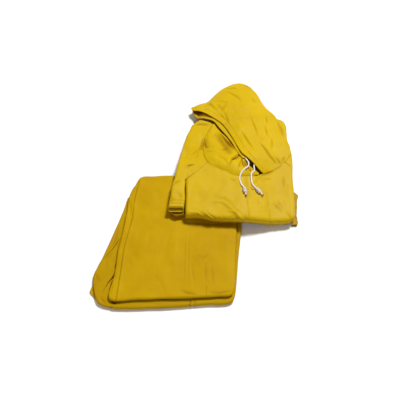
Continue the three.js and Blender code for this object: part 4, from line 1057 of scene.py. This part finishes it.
FRONT_LEFT_CREASES = [
    crease([(248, -36), (262, -52), (282, -70)], 5, -2.2, 1.2),
    crease([(262, -20), (272, -40), (286, -62)], 5, -1.8, 0.8),
    crease([(296, 78), (294, 50), (294, 26)], 5, -1.6),
    crease([(292, -66), (306, -84), (318, -98)], 4, -2.4, 1.2),
    crease([(262, -92), (270, -112)], 4, -1.8),
    crease([(240, -96), (236, -118)], 4, -1.4),
    crease([(262, 40), (268, 0)], 12, 1.2),
    crease([(196, 86), (214, 74), (236, 82), (260, 97)], 4.4, -3.8, 1.2, 0.85),
    crease([(240, 84), (272, 107), (298, 128)], 3.2, -2.2, 0.8),
    crease([(244, -22), (256, -40), (262, -60)], 9, -1.8),
    crease([(204, 40), (226, 56), (250, 62)], 5, -1.6, 0.8),
    crease([(310, 40), (314, -20), (312, -70)], 12, -1.2),
]
FLAP_CREASES = [
    crease([(182, 22), (200, 42), (220, 60)], 5, -1.8, 0.8),
    crease([(190, -40), (210, -52)], 7, -1.0),
    crease([(176, -94), (182, -120)], 4, -1.6),
    crease([(212, -92), (216, -118)], 4, -1.2),
]
NECK_SEAM = [(27, 118), (52, 92), (95, 73), (117, 59), (148, 56), (200, 59), (220, 70), (262, 99), (291, 123)]
FLAP_STITCHES = [(228, 66), (230, 10), (234, -60), (236, -86), (237, -132)]
FLAP_EDGE_STITCHES = [(164, 50), (166, 10), (170, -60), (172, -88), (173, -137)]

front_flat, front_right = panel_grid(jacket_body, FRONT_RIGHT_ROWS, ("far", "near"), 130,
                                     spread_across(56, 0, 0.3, 30), smooth=False, squareness=NEAR_SQUARENESS)
# The fold undersides of the fronts and flap darken with painted shade, by relief_of's last argument.
front_right = jacket_shell(
    "jacket_front_right", sagged(front_right), -1,
    relief_of(FRONT_RIGHT_CREASES, [seam(RAGLAN, 0.5, 0.3, 0.6, 8, -1), seam(NECK_SEAM, 0.1, 0.3)],
              55, 1.2, 12.5, front_flat, 1, (jacket_top, 15, 27, 0.5)))
front_flat, front_left = panel_grid(jacket_body, FRONT_LEFT_ROWS, ("far", "near"), 90,
                                    spread_across(56, 0, 0.28, 30), smooth=False, squareness=NEAR_SQUARENESS)
front_left = jacket_shell(
    "jacket_front_left", sagged(front_left), -1,
    relief_of(FRONT_LEFT_CREASES, [seam(NECK_SEAM, 0.1, 0.3)],
              55, 1.2, 15.0, front_flat, 1, (jacket_top, 14, 24, 0.5)))
flap_flat, flap = panel_grid(jacket_body, FLAP_ROWS, ("free", "sewn"), 130, spread_across(26, 0, 0),
                             FLAP_LIFT, squareness=NEAR_SQUARENESS)
flap = jacket_shell(
    "storm_flap", sagged(flap), -1,
    relief_of(FLAP_CREASES, [seam(FLAP_STITCHES, 0.5, 0.3), seam(FLAP_EDGE_STITCHES, 0.3, 0.2)],
              50, 0.8, 12.5, flap_flat, 1, (jacket_top, 13, 25, 0.5)))

# Press stud: a domed cap with a raised rim and a shallow dish
STUD_PLACE = (181, 10)
STUD_PROFILE = [(0, 0.3), (3.2, 0.3), (4.3, 0.8), (4.9, 1.5), (5.5, 2.0), (6.2, 2.1), (6.9, 1.8), (7.35, 1.2),
                (7.5, 0.5), (7.2, 0), (0, -0.2)]
STUD_SIDES = 48


def press_stud():
    x, y = map(float, STUD_PLACE)
    reach = 8  # mm to each side, over which the slope of the jacket's top is taken
    steps = ((reach, 0), (0, reach))
    slope = [(jacket_top(x - dx, y - dy) - jacket_top(x + dx, y + dy)) / (2 * reach) for dx, dy in steps]
    up = Vector((*slope, 1)).normalized()
    turn = Vector((0, 0, 1)).rotation_difference(up).to_matrix()
    centre = np.array([x, y, jacket_top(x, y) + FLAP_LIFT]) + np.array(up) * LAYER_GAP
    angle = np.linspace(0, 2 * math.pi, STUD_SIDES, endpoint=False)
    rings = [np.stack([np.cos(angle) * r, np.sin(angle) * r, np.full(STUD_SIDES, h + 0.2)], -1)
             for r, h in STUD_PROFILE[1:-1]]
    points = np.concatenate([[[0, 0, STUD_PROFILE[0][1] + 0.2]], *rings, [[0, 0, STUD_PROFILE[-1][1] + 0.2]]])
    turned = points @ np.array(turn).T + centre
    faces = [f[::-1] for f in ring_faces(len(rings), STUD_SIDES)]
    place_piece("press_stud_cap", turned, faces, STUD_CAP, ["press_stud"])


press_stud()


# Right sleeve, inner cuff and left sleeve

SLEEVE_ROWS = table(
    "left_x left_y right_x right_y fold under close",
    (-6, 337, 58, 318, 11, 0, 0), (-31, 315, 52, 306, 11, 0, 0), (-51, 262, 24, 254, 11, 0, 0),
    (-63, 207, 17, 196, 11, 0, 0), (-72, 152, 20, 152, 10, 0, 0), (-77, 122, 27, 118, 9, 0.03, 0),
    (-80, 100, 10, 97, 8.25, 0.2, 0), (-84, 78, -10, 76, 8.25, 0.5, 0), (-87, 59, -29, 58, 8.25, 0.8, 0.3),
    (-91, 41, -48.3, 41, 8.25, 1, 1), (-98, 10, -50, 8, 8.25, 1, 1), (-104, -40, -51, -40, 8.25, 1, 1),
    (-108, -68, -54, -68, 8.25, 1, 1))
SLEEVE_END = 12
SLEEVE_CREASES = [
    crease([(-74, 141), (-49, 137), (-26, 129)], 2.6, -1.3, 0.6),
    crease([(-48, 84), (-42, 98), (-18, 105)], 4, -4.2, 2.6),
    crease([(-34, 303), (-6, 314), (40, 311)], 4.5, -3.0, 1.6),
    crease([(16, 250), (9, 212), (2, 176)], 15, -1.8, 0, 0.55),
    crease([(-44, 70), (-52, 30), (-54, -20)], 9, -1.8),
    crease([(-100, -20), (-96, -38), (-98, -60)], 5, -1.8, 0.8),
    crease([(-98, 12), (-84, 27), (-68, 38)], 4.5, -2.6, 1.4),
    crease([(-60, 200), (-50, 170), (-52, 140)], 8, -1.6),
    crease([(-28, 250), (-40, 210), (-40, 175)], 14, 1.8),
    crease([(-2, 240), (6, 215), (14, 200)], 9, -1.2),
    crease([(-84, -8), (-70, -20), (-62, -38)], 6, -1.3),
    crease([(-92, -30), (-84, -46)], 4, -1.2),
    crease([(-36, 150), (-20, 165), (-8, 190)], 6, -1.6, 0.8),
]
SLEEVE_SEAM = [(14, 272), (6, 228), (-6, 173), (-10, 141)]
CUFF_HEMS = [[(-112, -42), (-46, -44)], [(-112, -54), (-46, -56)]]


def sleeve_section(row, inset, slant):
    left = np.array([row["left_x"], row["left_y"]])
    across = np.array([row["right_x"], row["right_y"]]) - left
    width = np.linalg.norm(across) - inset * 2
    across = across / np.linalg.norm(across)
    left = left + across * inset
    radius = row["fold"] - inset
    close, under = row["close"], row["under"]
    right_centre = width - radius * close
    bottom_end = radius + (width - 2 * radius) * under
    path = []
    for share in np.linspace(1, 0, 9):
        turn = share * math.pi / 2
        rolled = right_centre + radius * math.sin(turn) * close
        path.append((mix(width - 9 * (1 - share), rolled, close), radius * (math.cos(turn) - 1) * close))
    start = path[-1][0]
    path += [(mix(start, radius, t), 0.0) for t in np.linspace(0, 1, 25)[1:-1]]
    for turn in np.linspace(0, mix(2.7, math.pi, float(ease(under * 3))), 16):
        path.append((radius - radius * math.sin(turn), radius * (math.cos(turn) - 1)))
    last_reach, last_depth = path[-1]
    under_end = max(bottom_end, last_reach + 3)
    path += [(mix(last_reach, under_end, t), last_depth) for t in np.linspace(0, 1, 9)[1:]]
    for share in np.linspace(0.2, 1, 6):
        turn = math.pi - share * (math.pi / 2 - 0.5 / radius)
        rolled = (right_centre + radius * math.sin(turn), radius * (math.cos(turn) - 1))
        flat = (under_end + share * 2, last_depth)
        path.append((mix(flat[0], rolled[0], close), mix(flat[1], rolled[1], close)))
    points = []
    for reach, depth in path:
        x, y = left + across * reach
        points.append((x, y + depth * slant / SLEEVE_HEIGHT, float(jacket_top(x, y)) - inset + depth))
    return points


def sleeve_grid(places, inset, push=lambda place: 0.0):
    at = rows_at(SLEEVE_ROWS, places, False)
    rows = []
    for i, place in enumerate(places):
        slant = CUFF_SLANT * float(ease(place - SLEEVE_END + 1)) if inset == 0 else CUFF_SLANT
        section = np.array(sleeve_section({name: column[i] for name, column in at.items()}, inset, slant))
        rows.append(section + [0, push(place), 0])
    return np.array(rows)


sleeve_right = sleeve_grid(np.linspace(0, SLEEVE_END, 190), 0)
sleeve_right = jacket_shell(
    "jacket_sleeve_right", sleeve_right, 1,
    relief_of(SLEEVE_CREASES, [seam(RAGLAN, 0.5, 0.3), seam(SLEEVE_SEAM, 0.5, 0.3)]
              + [seam(route, 0.5, 0.08) for route in CUFF_HEMS], 50, 1.2, 21.0))
CUFF_SHARE = 0.7  # of the sleeve's last row, what the inner cuff takes
CUFF_START = SLEEVE_END - CUFF_SHARE
CUFF_INSET = CLOTH_WALL + 0.7
CUFF_PUSH = -3  # mm that its end stands out of the sleeve
inner_cuff = sleeve_grid(np.linspace(CUFF_START, SLEEVE_END, 26), CUFF_INSET,
                         lambda place: CUFF_PUSH * (place - CUFF_START) / CUFF_SHARE)
# Painted shade over the inner cuff, inside the sleeve's mouth.
cloth_shell("jacket_inner_cuff_right_cloth", inner_cuff, JACKET_CLOTH,
            ["jacket_inner_cuff_right"], 1, relief_of([], [], 14, 1.0, 23.0),
            shade=0.12)

SLEEVE_LEFT_ROWS = table(
    "inner_x inner_y outer_x outer_y",
    (298, 145.5, 342.6, 86.6), (288, 170, 345, 140), (282, 210, 343, 200), (278, 250, 336, 248),
    (274, 290, 336, 296), (270, 318, 330, 336), (262, 334, 300, 358))
SLEEVE_LEFT_CREASES = [
    crease([(291, 330), (303, 283), (309, 246)], 5, -3.0, 1.6),
    crease([(332, 180), (318, 158), (302, 140)], 3.6, -2.4, 1.4),
    crease([(318, 320), (326, 290)], 4, -2.0, 1.0),
    crease([(318, 230), (326, 200)], 6, -1.6),
]
left_flat, sleeve_left = panel_grid(jacket_body, SLEEVE_LEFT_ROWS, ("inner", "outer"), 120,
                                    spread_across(14, 0, 0.45, 18), smooth=False)
jacket_shell("jacket_sleeve_left", sleeve_left, -1,
             relief_of(SLEEVE_LEFT_CREASES, [], 45, 1.0, 27.0, left_flat))

PEEP_ROWS = table(
    "inner_x outer_x y",
    (321.2, 333, 26), (321.2, 344, 15), (320.8, 338, -9), (320, 335, -41), (318.4, 331.5, -68),
    (315, 334, -96), (313, 331, -105))
PEEP_RADIUS = 3.6
PEEP_TOP = 8.4


def folded_end_grid():
    at = rows_at(PEEP_ROWS, np.linspace(0, 6, 70), False)
    reach = at["outer_x"] - PEEP_RADIUS - at["inner_x"]
    columns = [(at["inner_x"] + reach * s, 0 * reach) for s in np.linspace(0, 1, 6)]
    columns += [(at["outer_x"] - PEEP_RADIUS + PEEP_RADIUS * math.sin(turn),
                 PEEP_RADIUS * (math.cos(turn) - 1) + 0 * reach) for turn in roll_turns(12)]
    columns += [(at["inner_x"] + reach * s, 0 * reach - 2 * PEEP_RADIUS) for s in np.linspace(1, 0, 6)]
    return np.stack([np.stack([x, at["y"], PEEP_TOP + depth], -1) for x, depth in columns], 1)


# Painted shade over the left sleeve's folded end, which lies in the fold's shade.
jacket_shell("jacket_sleeve_left_folded_end", folded_end_grid(), 1,
             relief_of([crease([(326, -30), (338, -36)], 3, -1.5), crease([(324, -72), (334, -80)], 3, -1.5)],
                       [], 30, 0.5, 29.0), shade=0.5)


# Hood

HOOD_ROWS = table(
    "low_x low_y up_x up_y up_lift out_x out_y out_z crown_z open",
    (-27, 374, -29, 380, 14, -35, 396, 39, 42.5, 0), (-10, 347, 10, 363, 14.5, 28, 439, 9, 31, 1),
    (12, 336, 30, 350, 15, 80, 501, 8, 33, 1), (46, 313, 60, 327, 15, 156, 539, 8, 37, 1),
    (64, 277, 85, 300, 17, 211, 501, 8, 43, 1), (99, 228, 115, 243, 17, 254, 411, 8, 49, 1),
    (125, 180, 134, 191, 17, 288, 338, 31.8, 52, 0), (140, 150, 148, 154, 17, 304, 245, 37, 56, 0),
    (150, 131, 163, 136, 17, 318, 165, 40, 56, 0), (156, 122, 178, 119, 16, 291, 123, 40, 53, 0),
    (162, 112, 195, 100, 14, 262, 99, 42, 54, 0), (168, 102, 211, 82, 10, 224, 74, 50, 59, 0))
HOOD_LAST = 11
HOOD_CREASES = [
    crease([(96, 497), (123, 498), (150, 491)], 4, -2.4, 1.4),
    crease([(150, 524), (178, 518), (200, 500)], 4, -2.4, 1.2),
    crease([(92, 484), (122, 462), (143, 442), (160, 416)], 4, -2.4, 1.4),
    crease([(52, 422), (78, 422), (104, 413)], 5, -1.6, 0.6),
    crease([(62, 410), (78, 388), (88, 364)], 7, -2.0),
    crease([(104, 424), (92, 393), (78, 362)], 7, -1.6, 0.6),
    crease([(66, 364), (85, 335), (104, 313)], 4, -2.2, 1.0),
    crease([(88, 370), (101, 323), (106, 288)], 4, -2.2, 1.0),
    crease([(106, 312), (159, 329), (210, 338), (250, 358)], 2.4, -1.2, 0.7),
    crease([(184, 352), (199, 295), (213, 234)], 3, -2.4, 1.8),
    crease([(148, 268), (170, 216), (192, 170)], 3.8, -2.6, 1.6),
    crease([(212, 212), (237, 174), (251, 147), (272, 120)], 4.5, -3.8, 2.6),
    crease([(248, 354), (248, 306)], 4, -2.6, 1.2),
    crease([(239, 300), (244, 255), (258, 238)], 4, -2.2, 1.2),
    crease([(261, 242), (259, 182)], 4, -2.4, 1.2),
    crease([(286, 330), (298, 290), (304, 246)], 5, -3.0, 1.6),
    crease([(270, 156), (278, 138), (286, 120)], 4, -2.4, 1.2),
    crease([(0, 406), (36, 411), (52, 386), (70, 362)], 4.5, -2.2, 1.2),
    crease([(304, 160), (292, 132)], 4, -2.4, 1.0),
    crease([(150, 380), (190, 400), (226, 396)], 12, 2.2),
    crease([(140, 300), (150, 262)], 12, 2.0),
    crease([(226, 250), (232, 212)], 10, 2.0),
    crease([(200, 440), (214, 420)], 6, -2.0),
    crease([(120, 380), (136, 350)], 9, -1.6),
]

TIP_DROOP = 13
MOUTH_OPENING = 12.0
LIP_RISE = 3.5
LIP_DRAW = 0.42  # of the way to the upper lip, how far the lower lip is drawn in the middle
CASING_MOST = 0.42  # of the hood's width, the most that its casing takes
CASING_GAP = 0.12  # mm between the casing and the panel


def hood_height(row, s):
    edge_z = jacket_top(row["up_x"], row["up_y"]) + row["up_lift"]
    rest_z = row["out_z"] + 12 * row["open"]
    bend = 4 * row["crown_z"] - edge_z * 3 - rest_z
    plain = edge_z + bend * s + (rest_z - edge_z - bend) * s * s
    fall = np.sqrt(np.maximum(1 - np.clip(s, 0, 1) ** 7, 0))
    return mix(plain, row["out_z"] + (plain - row["out_z"]) * fall, row["open"]) - row["droop"]


def hood_points(row, s):
    x, y = (mix(row[f"up_{axis}"], row[f"out_{axis}"], s) for axis in "xy")
    return np.stack([x, y, hood_height(row, s)], -1)


def hood_length(row):
    return np.hypot(row["out_x"] - row["up_x"], row["out_y"] - row["up_y"])


def casing_share(row):
    return np.minimum(CASING_WIDTH / hood_length(row), CASING_MOST)


def hood_rows_at(places):
    """Rows of the hood at places along its mouth: the tip droops, the lips part near it, and the lower lip
    is drawn up and towards the upper one in the middle."""
    row = {name: column[:, None] for name, column in rows_at(HOOD_ROWS, places).items()}
    row["droop"] = (TIP_DROOP * (1 - ease((places + 0.12) / 0.95)))[:, None]
    row["part"] = (MOUTH_OPENING * ease(places / 0.35) * (1 - ease((places - 0.7) / 1.3)))[:, None]
    drawn = (ease((places - 1.6) / 1.4) * (1 - ease((places - 5.2) / 1.6)))[:, None]
    for axis in "xy":
        row[f"low_{axis}"] = mix(row[f"low_{axis}"], row[f"up_{axis}"], LIP_DRAW * drawn)
    row["rise"] = LIP_RISE * drawn
    return row


hood_row = hood_rows_at(np.linspace(0, HOOD_LAST, 210))
hood_share = mix(casing_share(hood_row) + CASING_GAP / hood_length(hood_row), 1, np.concatenate([
    np.linspace(0, 0.8, 66)[:-1], 0.8 + 0.2 * np.sin(np.linspace(0, math.pi / 2, 26))])[None, :])
jacket_shell("hood_left_panel", hood_points(hood_row, hood_share), -1,
             relief_of(HOOD_CREASES, [], 48, 1.6, 33.0))


def left_casing_grid():
    share = casing_share(hood_row)
    upper = [hood_points(hood_row, share * t) for t in np.linspace(1, 0.15, 10)]
    lower = [hood_points(hood_row, share * t) - [0, 0, 2 * CASING_FOLD] for t in np.linspace(0.2, 0.95, 8)]
    start = hood_points(hood_row, np.minimum(CASING_FOLD / hood_length(hood_row), 0.1))
    outward = np.concatenate([hood_row["up_x"] - hood_row["out_x"], hood_row["up_y"] - hood_row["out_y"]], 1)
    outward = np.pad(outward / np.linalg.norm(outward, axis=1, keepdims=True), ((0, 0), (0, 1)))[:, None]
    turned = [start + outward * CASING_FOLD * math.sin(turn) + [0, 0, CASING_FOLD * (math.cos(turn) - 1)]
              for turn in roll_turns(8)]
    return np.concatenate([*upper, *turned, *lower], 1)


CASING_CREASES = [
    crease([(20, 362), (34, 348)], 3, -0.8), crease([(86, 306), (98, 296)], 3, -0.9),
    crease([(120, 240), (136, 244)], 3, -0.8), crease([(146, 178), (156, 186)], 3, -0.9),
    crease([(60, 334), (66, 342)], 3, -0.7), crease([(172, 128), (184, 136)], 3, -0.8),
]
left_casing = jacket_shell("hood_casing_left", left_casing_grid(), 1,
                           relief_of(CASING_CREASES, [], 26, 0.7, 35.0))


def low_edge(row, distance, z):
    inward = np.concatenate([row["out_x"] - row["low_x"], row["out_y"] - row["low_y"]], 1)
    inward /= np.linalg.norm(inward, axis=1, keepdims=True)
    place = np.concatenate([row["low_x"], row["low_y"]], 1) + inward * distance
    return np.concatenate([place, z], 1)


def low_height(row):
    return jacket_top(row["low_x"], row["low_y"]) + 8 + row["rise"] - row["droop"] * 0.7 - row["part"]


CASING_END = 8
LOWER_LIP_START = 0.13  # the lower lip starts just inside the hood's tip, and leaves the tip open
LOWER_PANEL_START = LOWER_LIP_START + 0.06
LOWER_PANEL_END = 5.7
casing_row = hood_rows_at(np.linspace(LOWER_LIP_START, CASING_END, 170))
casing_wide = np.minimum(CASING_WIDTH, hood_length(casing_row) * 0.8)


def right_casing_grid():
    z = low_height(casing_row)
    upper = [low_edge(casing_row, casing_wide * s, z - s) for s in np.linspace(1, 0.25, 8)]
    turned = [low_edge(casing_row, CASING_FOLD * (1 - math.sin(turn)), z + CASING_FOLD * (math.cos(turn) - 1))
              for turn in roll_turns(8)]
    lower = [low_edge(casing_row, casing_wide * s, z - s - 2 * CASING_FOLD)
             for s in np.linspace(0.25, 0.95, 8)]
    return np.stack([*upper, *turned, *lower], 1)


# Painted shade inside the hood's mouth: the width in mm of the lip's band that it leaves out, and its
# strength.
LIP_BAND = 6.5
MOUTH_SHADE = 1.0


def inside_mouth(relief):
    """The relief of the lower lip, with painted shade on the cloth behind its band, darker towards the inside
    of the hood.
    """
    def shaded(grid):
        height, tone = relief(grid)
        place = np.linspace(LOWER_LIP_START, CASING_END, len(grid))[:, None]
        from_edge = casing_wide * np.concatenate([np.linspace(1, 0.25, 8), np.zeros(grid.shape[1] - 8)])
        deep = ease((from_edge - LIP_BAND) / 3.5) * (1 - ease((place - 2.6) / 1.4))
        return height, np.clip(tone + MOUTH_SHADE * deep, 0, 1)
    return shaded


right_casing = jacket_shell("hood_casing_right", right_casing_grid(), 1,
                            inside_mouth(relief_of(CASING_CREASES, [], 26, 0.6, 37.0)))


def hood_bed(x, y):
    return 0.3 + (jacket_top(x, y) + 0.6) * (1 - ease((y - 338) / 54))


def right_panel_grid():
    row = hood_rows_at(np.linspace(LOWER_PANEL_START, LOWER_PANEL_END, 120))
    start = low_edge(row, np.minimum(CASING_WIDTH, hood_length(row) * 0.8) + 1, 0 * row["low_x"])
    s = np.concatenate([np.linspace(0, 0.92, 50)[:-1], np.linspace(0.92, 0.99, 10)])[None, :]
    x, y = mix(start[:, :1], row["out_x"], s), mix(start[:, 1:2], row["out_y"], s)
    bed = hood_bed(x, y) + CLOTH_WALL
    rim = bed + np.maximum(row["out_z"] - 0.6 - bed, 0) * (1 - np.sqrt(np.maximum(1 - s ** 12, 0)))
    rim = rim - row["droop"] * ease(s)
    return np.stack([x, y, mix(np.maximum(low_height(row) - 4.2, bed), rim, ease(s / 0.3))], -1)


# The hood's lower panel inside the mouth, in the inside cloth darkened as painted shade.
cloth_shell("hood_right_panel_cloth", right_panel_grid(), JACKET_INSIDE_PAINTED_SHADE,
            ["hood_right_panel"], -1, relief_of([], [], 60, 0.3, 39.0))

NECK_ROWS = table(
    "neck_x neck_y under_x under_y rise",
    (46, 313, 56, 312, 1), (18, 251, 80, 270, 3), (12, 181, 107, 233, 5), (25, 120, 130, 186, 6),
    (52, 91, 145, 154, 6), (95, 71, 158, 132, 5), (120, 57, 166, 112, 4), (150, 54.5, 176, 98, 3),
    (180, 60, 190, 88, 2), (205, 68, 206, 76, 1))
NECK_CREASES = [
    crease([(16, 244), (18, 212), (26, 186)], 11, -2.6, 1.0, 0.5),
    crease([(14, 230), (17, 204), (28, 184)], 4, -2.0, 0.8, 0.3),
    crease([(16, 193), (34, 194), (60, 200)], 2.8, -2.6, 2.0, 0.4),
    crease([(20, 168), (34, 167), (54, 172)], 2.8, -2.2, 1.6, 0.3),
    crease([(76, 176), (87, 182), (100, 196)], 3.0, -2.6, 2.0, 0.65),
    crease([(56, 268), (90, 200), (110, 148)], 20, -0.8, 0, 0.5),
    crease([(74, 264), (106, 210), (132, 166)], 10, -1.4, 0, 1.0),
    crease([(98, 84), (105, 102), (114, 124), (124, 140)], 3.6, -3.6, 2.6, 0.6),
    crease([(110, 120), (125, 137), (142, 156)], 7.5, -6.0, 2.6, 1.0),
    crease([(148, 132), (141, 108), (130, 80)], 3.2, -3.4, 2.2, 0.5),
    crease([(144, 136), (151, 114), (156, 88)], 4.2, -4.4, 2.0, 1.0),
    crease([(162, 110), (168, 96), (176, 74)], 4.6, -4.0, 1.2, 0.9),
    crease([(154, 130), (158, 112), (160, 94)], 4.4, -3.6, 1.0, 0.9),
    crease([(166, 112), (164, 90), (160, 64)], 3.2, -3.0, 1.6, 0.6),
    crease([(60, 150), (84, 128), (94, 102)], 7, -1.8, 1.2),
    crease([(40, 140), (58, 120)], 8, 1.6),
    crease([(174, 92), (180, 66)], 3.6, -2.6, 1.2, 0.6),
    crease([(44, 236), (50, 250), (62, 262)], 4, -1.4, 0.8),
]
NECK_PROFILE = table(
    "share height",
    (0, 1.2), (0.1, 4.4), (0.24, 8.2), (0.4, 9.2), (0.56, 7.2), (0.7, 2.8), (0.8, 6.0), (0.9, 9.6),
    (0.95, 8.6), (1, 3.4))


def neck_grid():
    places = np.linspace(0, 9, 190)
    row = {name: column[:, None] for name, column in rows_at(NECK_ROWS, places).items()}
    s = np.linspace(0, 1, 60)[None, :]
    x, y = mix(row["neck_x"], row["under_x"], s), mix(row["neck_y"], row["under_y"], s)
    swell = row["rise"] * np.sin(math.pi * np.minimum(s * 1.2, 1))
    fullness = 2.6 * np.sin(math.pi * np.minimum(s / 0.85, 1)) * ease(row["rise"] - 1)
    plain = FLAP_LIFT + 0.5 - 1.1 * (1 - ease(s / 0.12)) + swell + fullness
    valley = np.interp(s, NECK_PROFILE["share"], NECK_PROFILE["height"])
    shaped = (ease((places - 0.3) / 1.2) * (1 - ease((places - 2.9) / 1.3)))[:, None]
    return np.stack([x, y, jacket_top(x, y) + mix(plain, valley, shaped)], -1)


jacket_shell("hood_right_neck", neck_grid(), -1, relief_of(NECK_CREASES, [], 34, 1.2, 41.0))


# Sewing

STITCH_LENGTH = 2.7
STITCH_WIDTH = 0.62
STITCH_HEIGHT = 0.34


def stitches_along(points, normals):
    """Small spindle-shaped stitches at an even pitch along a line on the cloth."""
    steps = np.linalg.norm(np.diff(points, axis=0), axis=1)
    travelled = np.concatenate([[0], np.cumsum(steps)])
    centres = np.arange(STITCH_PITCH, travelled[-1] - STITCH_PITCH, STITCH_PITCH)
    at = [np.stack([np.interp(c, travelled, column) for column in points.T], -1)
          for c in (centres - STITCH_LENGTH / 2, centres, centres + STITCH_LENGTH / 2)]
    up = np.stack([np.interp(centres, travelled, column) for column in normals.T], -1)
    up /= np.linalg.norm(up, axis=1, keepdims=True)
    side = np.cross(at[2] - at[0], up)
    side *= STITCH_WIDTH / 2 / np.linalg.norm(side, axis=1, keepdims=True)
    corners = [at[0] - up * 0.1, at[2] - up * 0.1, at[1] + side, at[1] - side, at[1] + up * STITCH_HEIGHT,
               at[1] - up * STITCH_HEIGHT]
    shape = [(0, 2, 4), (0, 4, 3), (0, 3, 5), (0, 5, 2), (1, 4, 2), (1, 3, 4), (1, 5, 3), (1, 2, 5)]
    points = np.stack(corners, 1).reshape(-1, 3)
    faces = [tuple(6 * i + k for k in face) for i in range(len(centres)) for face in shape]
    return points, faces


def on_surface(surface, side, route):
    """A route dropped on to a displaced grid: nearest grid points by their x and y, joined smoothly."""
    normals = -grid_normals(surface) * side
    facing = normals[:, :, 2] > 0.05
    flat = surface[facing]
    up = normals[facing]
    places = centripetal([(x, y, 0) for x, y in route], max(8, int(len(route) * 14)), False)
    found_points, found_normals = [], []
    for x, y, _ in places:
        away = np.hypot(flat[:, 0] - x, flat[:, 1] - y)
        near = np.argsort(away)[:6]
        weight = 1 / (away[near] + 0.3)
        weight /= weight.sum()
        height = (flat[near, 2] * weight).sum()
        found_points.append((x, y, height))
        found_normals.append((up[near] * weight[:, None]).sum(0))
    return np.array(found_points), np.array(found_normals)


def sew(name, material, rows):
    """Joins rows of stitches into one piece of thread."""
    points, faces, start = [], [], 0
    for line, normals in rows:
        row_points, row_faces = stitches_along(line, normals)
        points.append(row_points)
        faces += [tuple(i + start for i in face) for face in row_faces]
        start += len(row_points)
    return place_piece(name, np.concatenate(points), faces, material)


def offset_route(route, distance):
    """A route moved to its left by a distance."""
    route = np.array(route, float)
    along = np.gradient(route, axis=0)
    along /= np.linalg.norm(along, axis=1, keepdims=True)
    return [(x - dy * distance, y + dx * distance) for (x, y), (dx, dy) in zip(route, along)]


def grid_line(surface, side, column):
    """A line of a grid as points and outward normals."""
    return surface[:, column], -grid_normals(surface)[:, column] * side


trouser_rows = [on_surface(trouser_front, -1, offset_route(SIDE_SEAM, d)[1:-1]) for d in (2.6, 8.6)]
sew("trousers_side_seam_stitches", TROUSER_THREAD, trouser_rows)
sew("jacket_raglan_stitches", JACKET_THREAD, [
    on_surface(front_right, -1, offset_route(RAGLAN, d)) for d in (2.6, 8.2)])
sew("jacket_neckline_stitches", JACKET_THREAD, [
    on_surface(front_right, -1, offset_route(NECK_SEAM[:6], -5)),
    on_surface(front_left, -1, offset_route(NECK_SEAM[6:], -5))])
sew("storm_flap_stitches", JACKET_THREAD, [
    on_surface(flap, -1, offset_route(FLAP_STITCHES[:4], -d)) for d in (2.5, 8.5)]
    + [on_surface(flap, -1, FLAP_EDGE_STITCHES[:4])])
sew("jacket_cuff_hem_stitches", JACKET_THREAD, [
    on_surface(sleeve_right, 1, [(-104, -42 + d), (-78, -43 + d), (-53, -44 + d)]) for d in (0, -12)])
sew("hood_casing_stitches", JACKET_THREAD, [
    grid_line(surface, 1, column) for surface in (left_casing, right_casing) for column in (1, 5)])


# Floor and light
FLOOR_HALF = 6.0
FLOOR_DROP = 0.0002  # m below the suit's underside
floor_corners = [(x * FLOOR_HALF, y * FLOOR_HALF, -FLOOR_DROP)
                 for x, y in ((-1, -1), (1, -1), (1, 1), (-1, 1))]
floor_mesh = bpy.data.meshes.new("floor")
floor_mesh.from_pydata(floor_corners, [], [(0, 1, 2, 3)])
floor = bpy.data.objects.new("floor", floor_mesh)
bpy.context.scene.collection.objects.link(floor)
floor_material, floor_tree = new_material("matte_white_sweep")
floor_shader = node(floor_tree, "ShaderNodeBsdfPrincipled",
                    {"Base Color": linear("#F6F9FF"), "Roughness": 0.9})
finish_material(floor_tree, floor_shader)
floor_mesh.materials.append(floor_material)

BOUNCE_COLOUR = "#FFE8C4"
BOUNCE_STRENGTH = 0.24
world = bpy.data.worlds.new("studio")
bpy.context.scene.world = world
world.use_nodes = True
world.node_tree.nodes["Background"].inputs["Color"].default_value = linear(BOUNCE_COLOUR)
world.node_tree.nodes["Background"].inputs["Strength"].default_value = BOUNCE_STRENGTH


def soft_light(name, place, size, power):
    """A square soft box aimed at the suit."""
    data = bpy.data.lights.new(name, "AREA")
    data.shape = "SQUARE"
    data.size = size
    data.energy = power
    light = bpy.data.objects.new(name, data)
    bpy.context.scene.collection.objects.link(light)
    light.location = place
    light.rotation_mode = "QUATERNION"
    light.rotation_quaternion = (-Vector(place)).to_track_quat("-Z", "Y")


soft_light("key_behind_right", (1.6, 2.3, 4.45), 1.1, 308)
soft_light("fill_near", (-0.7, -2.6, 1.7), 1.6, 20)
bpy.context.scene.view_settings.view_transform = "Standard"
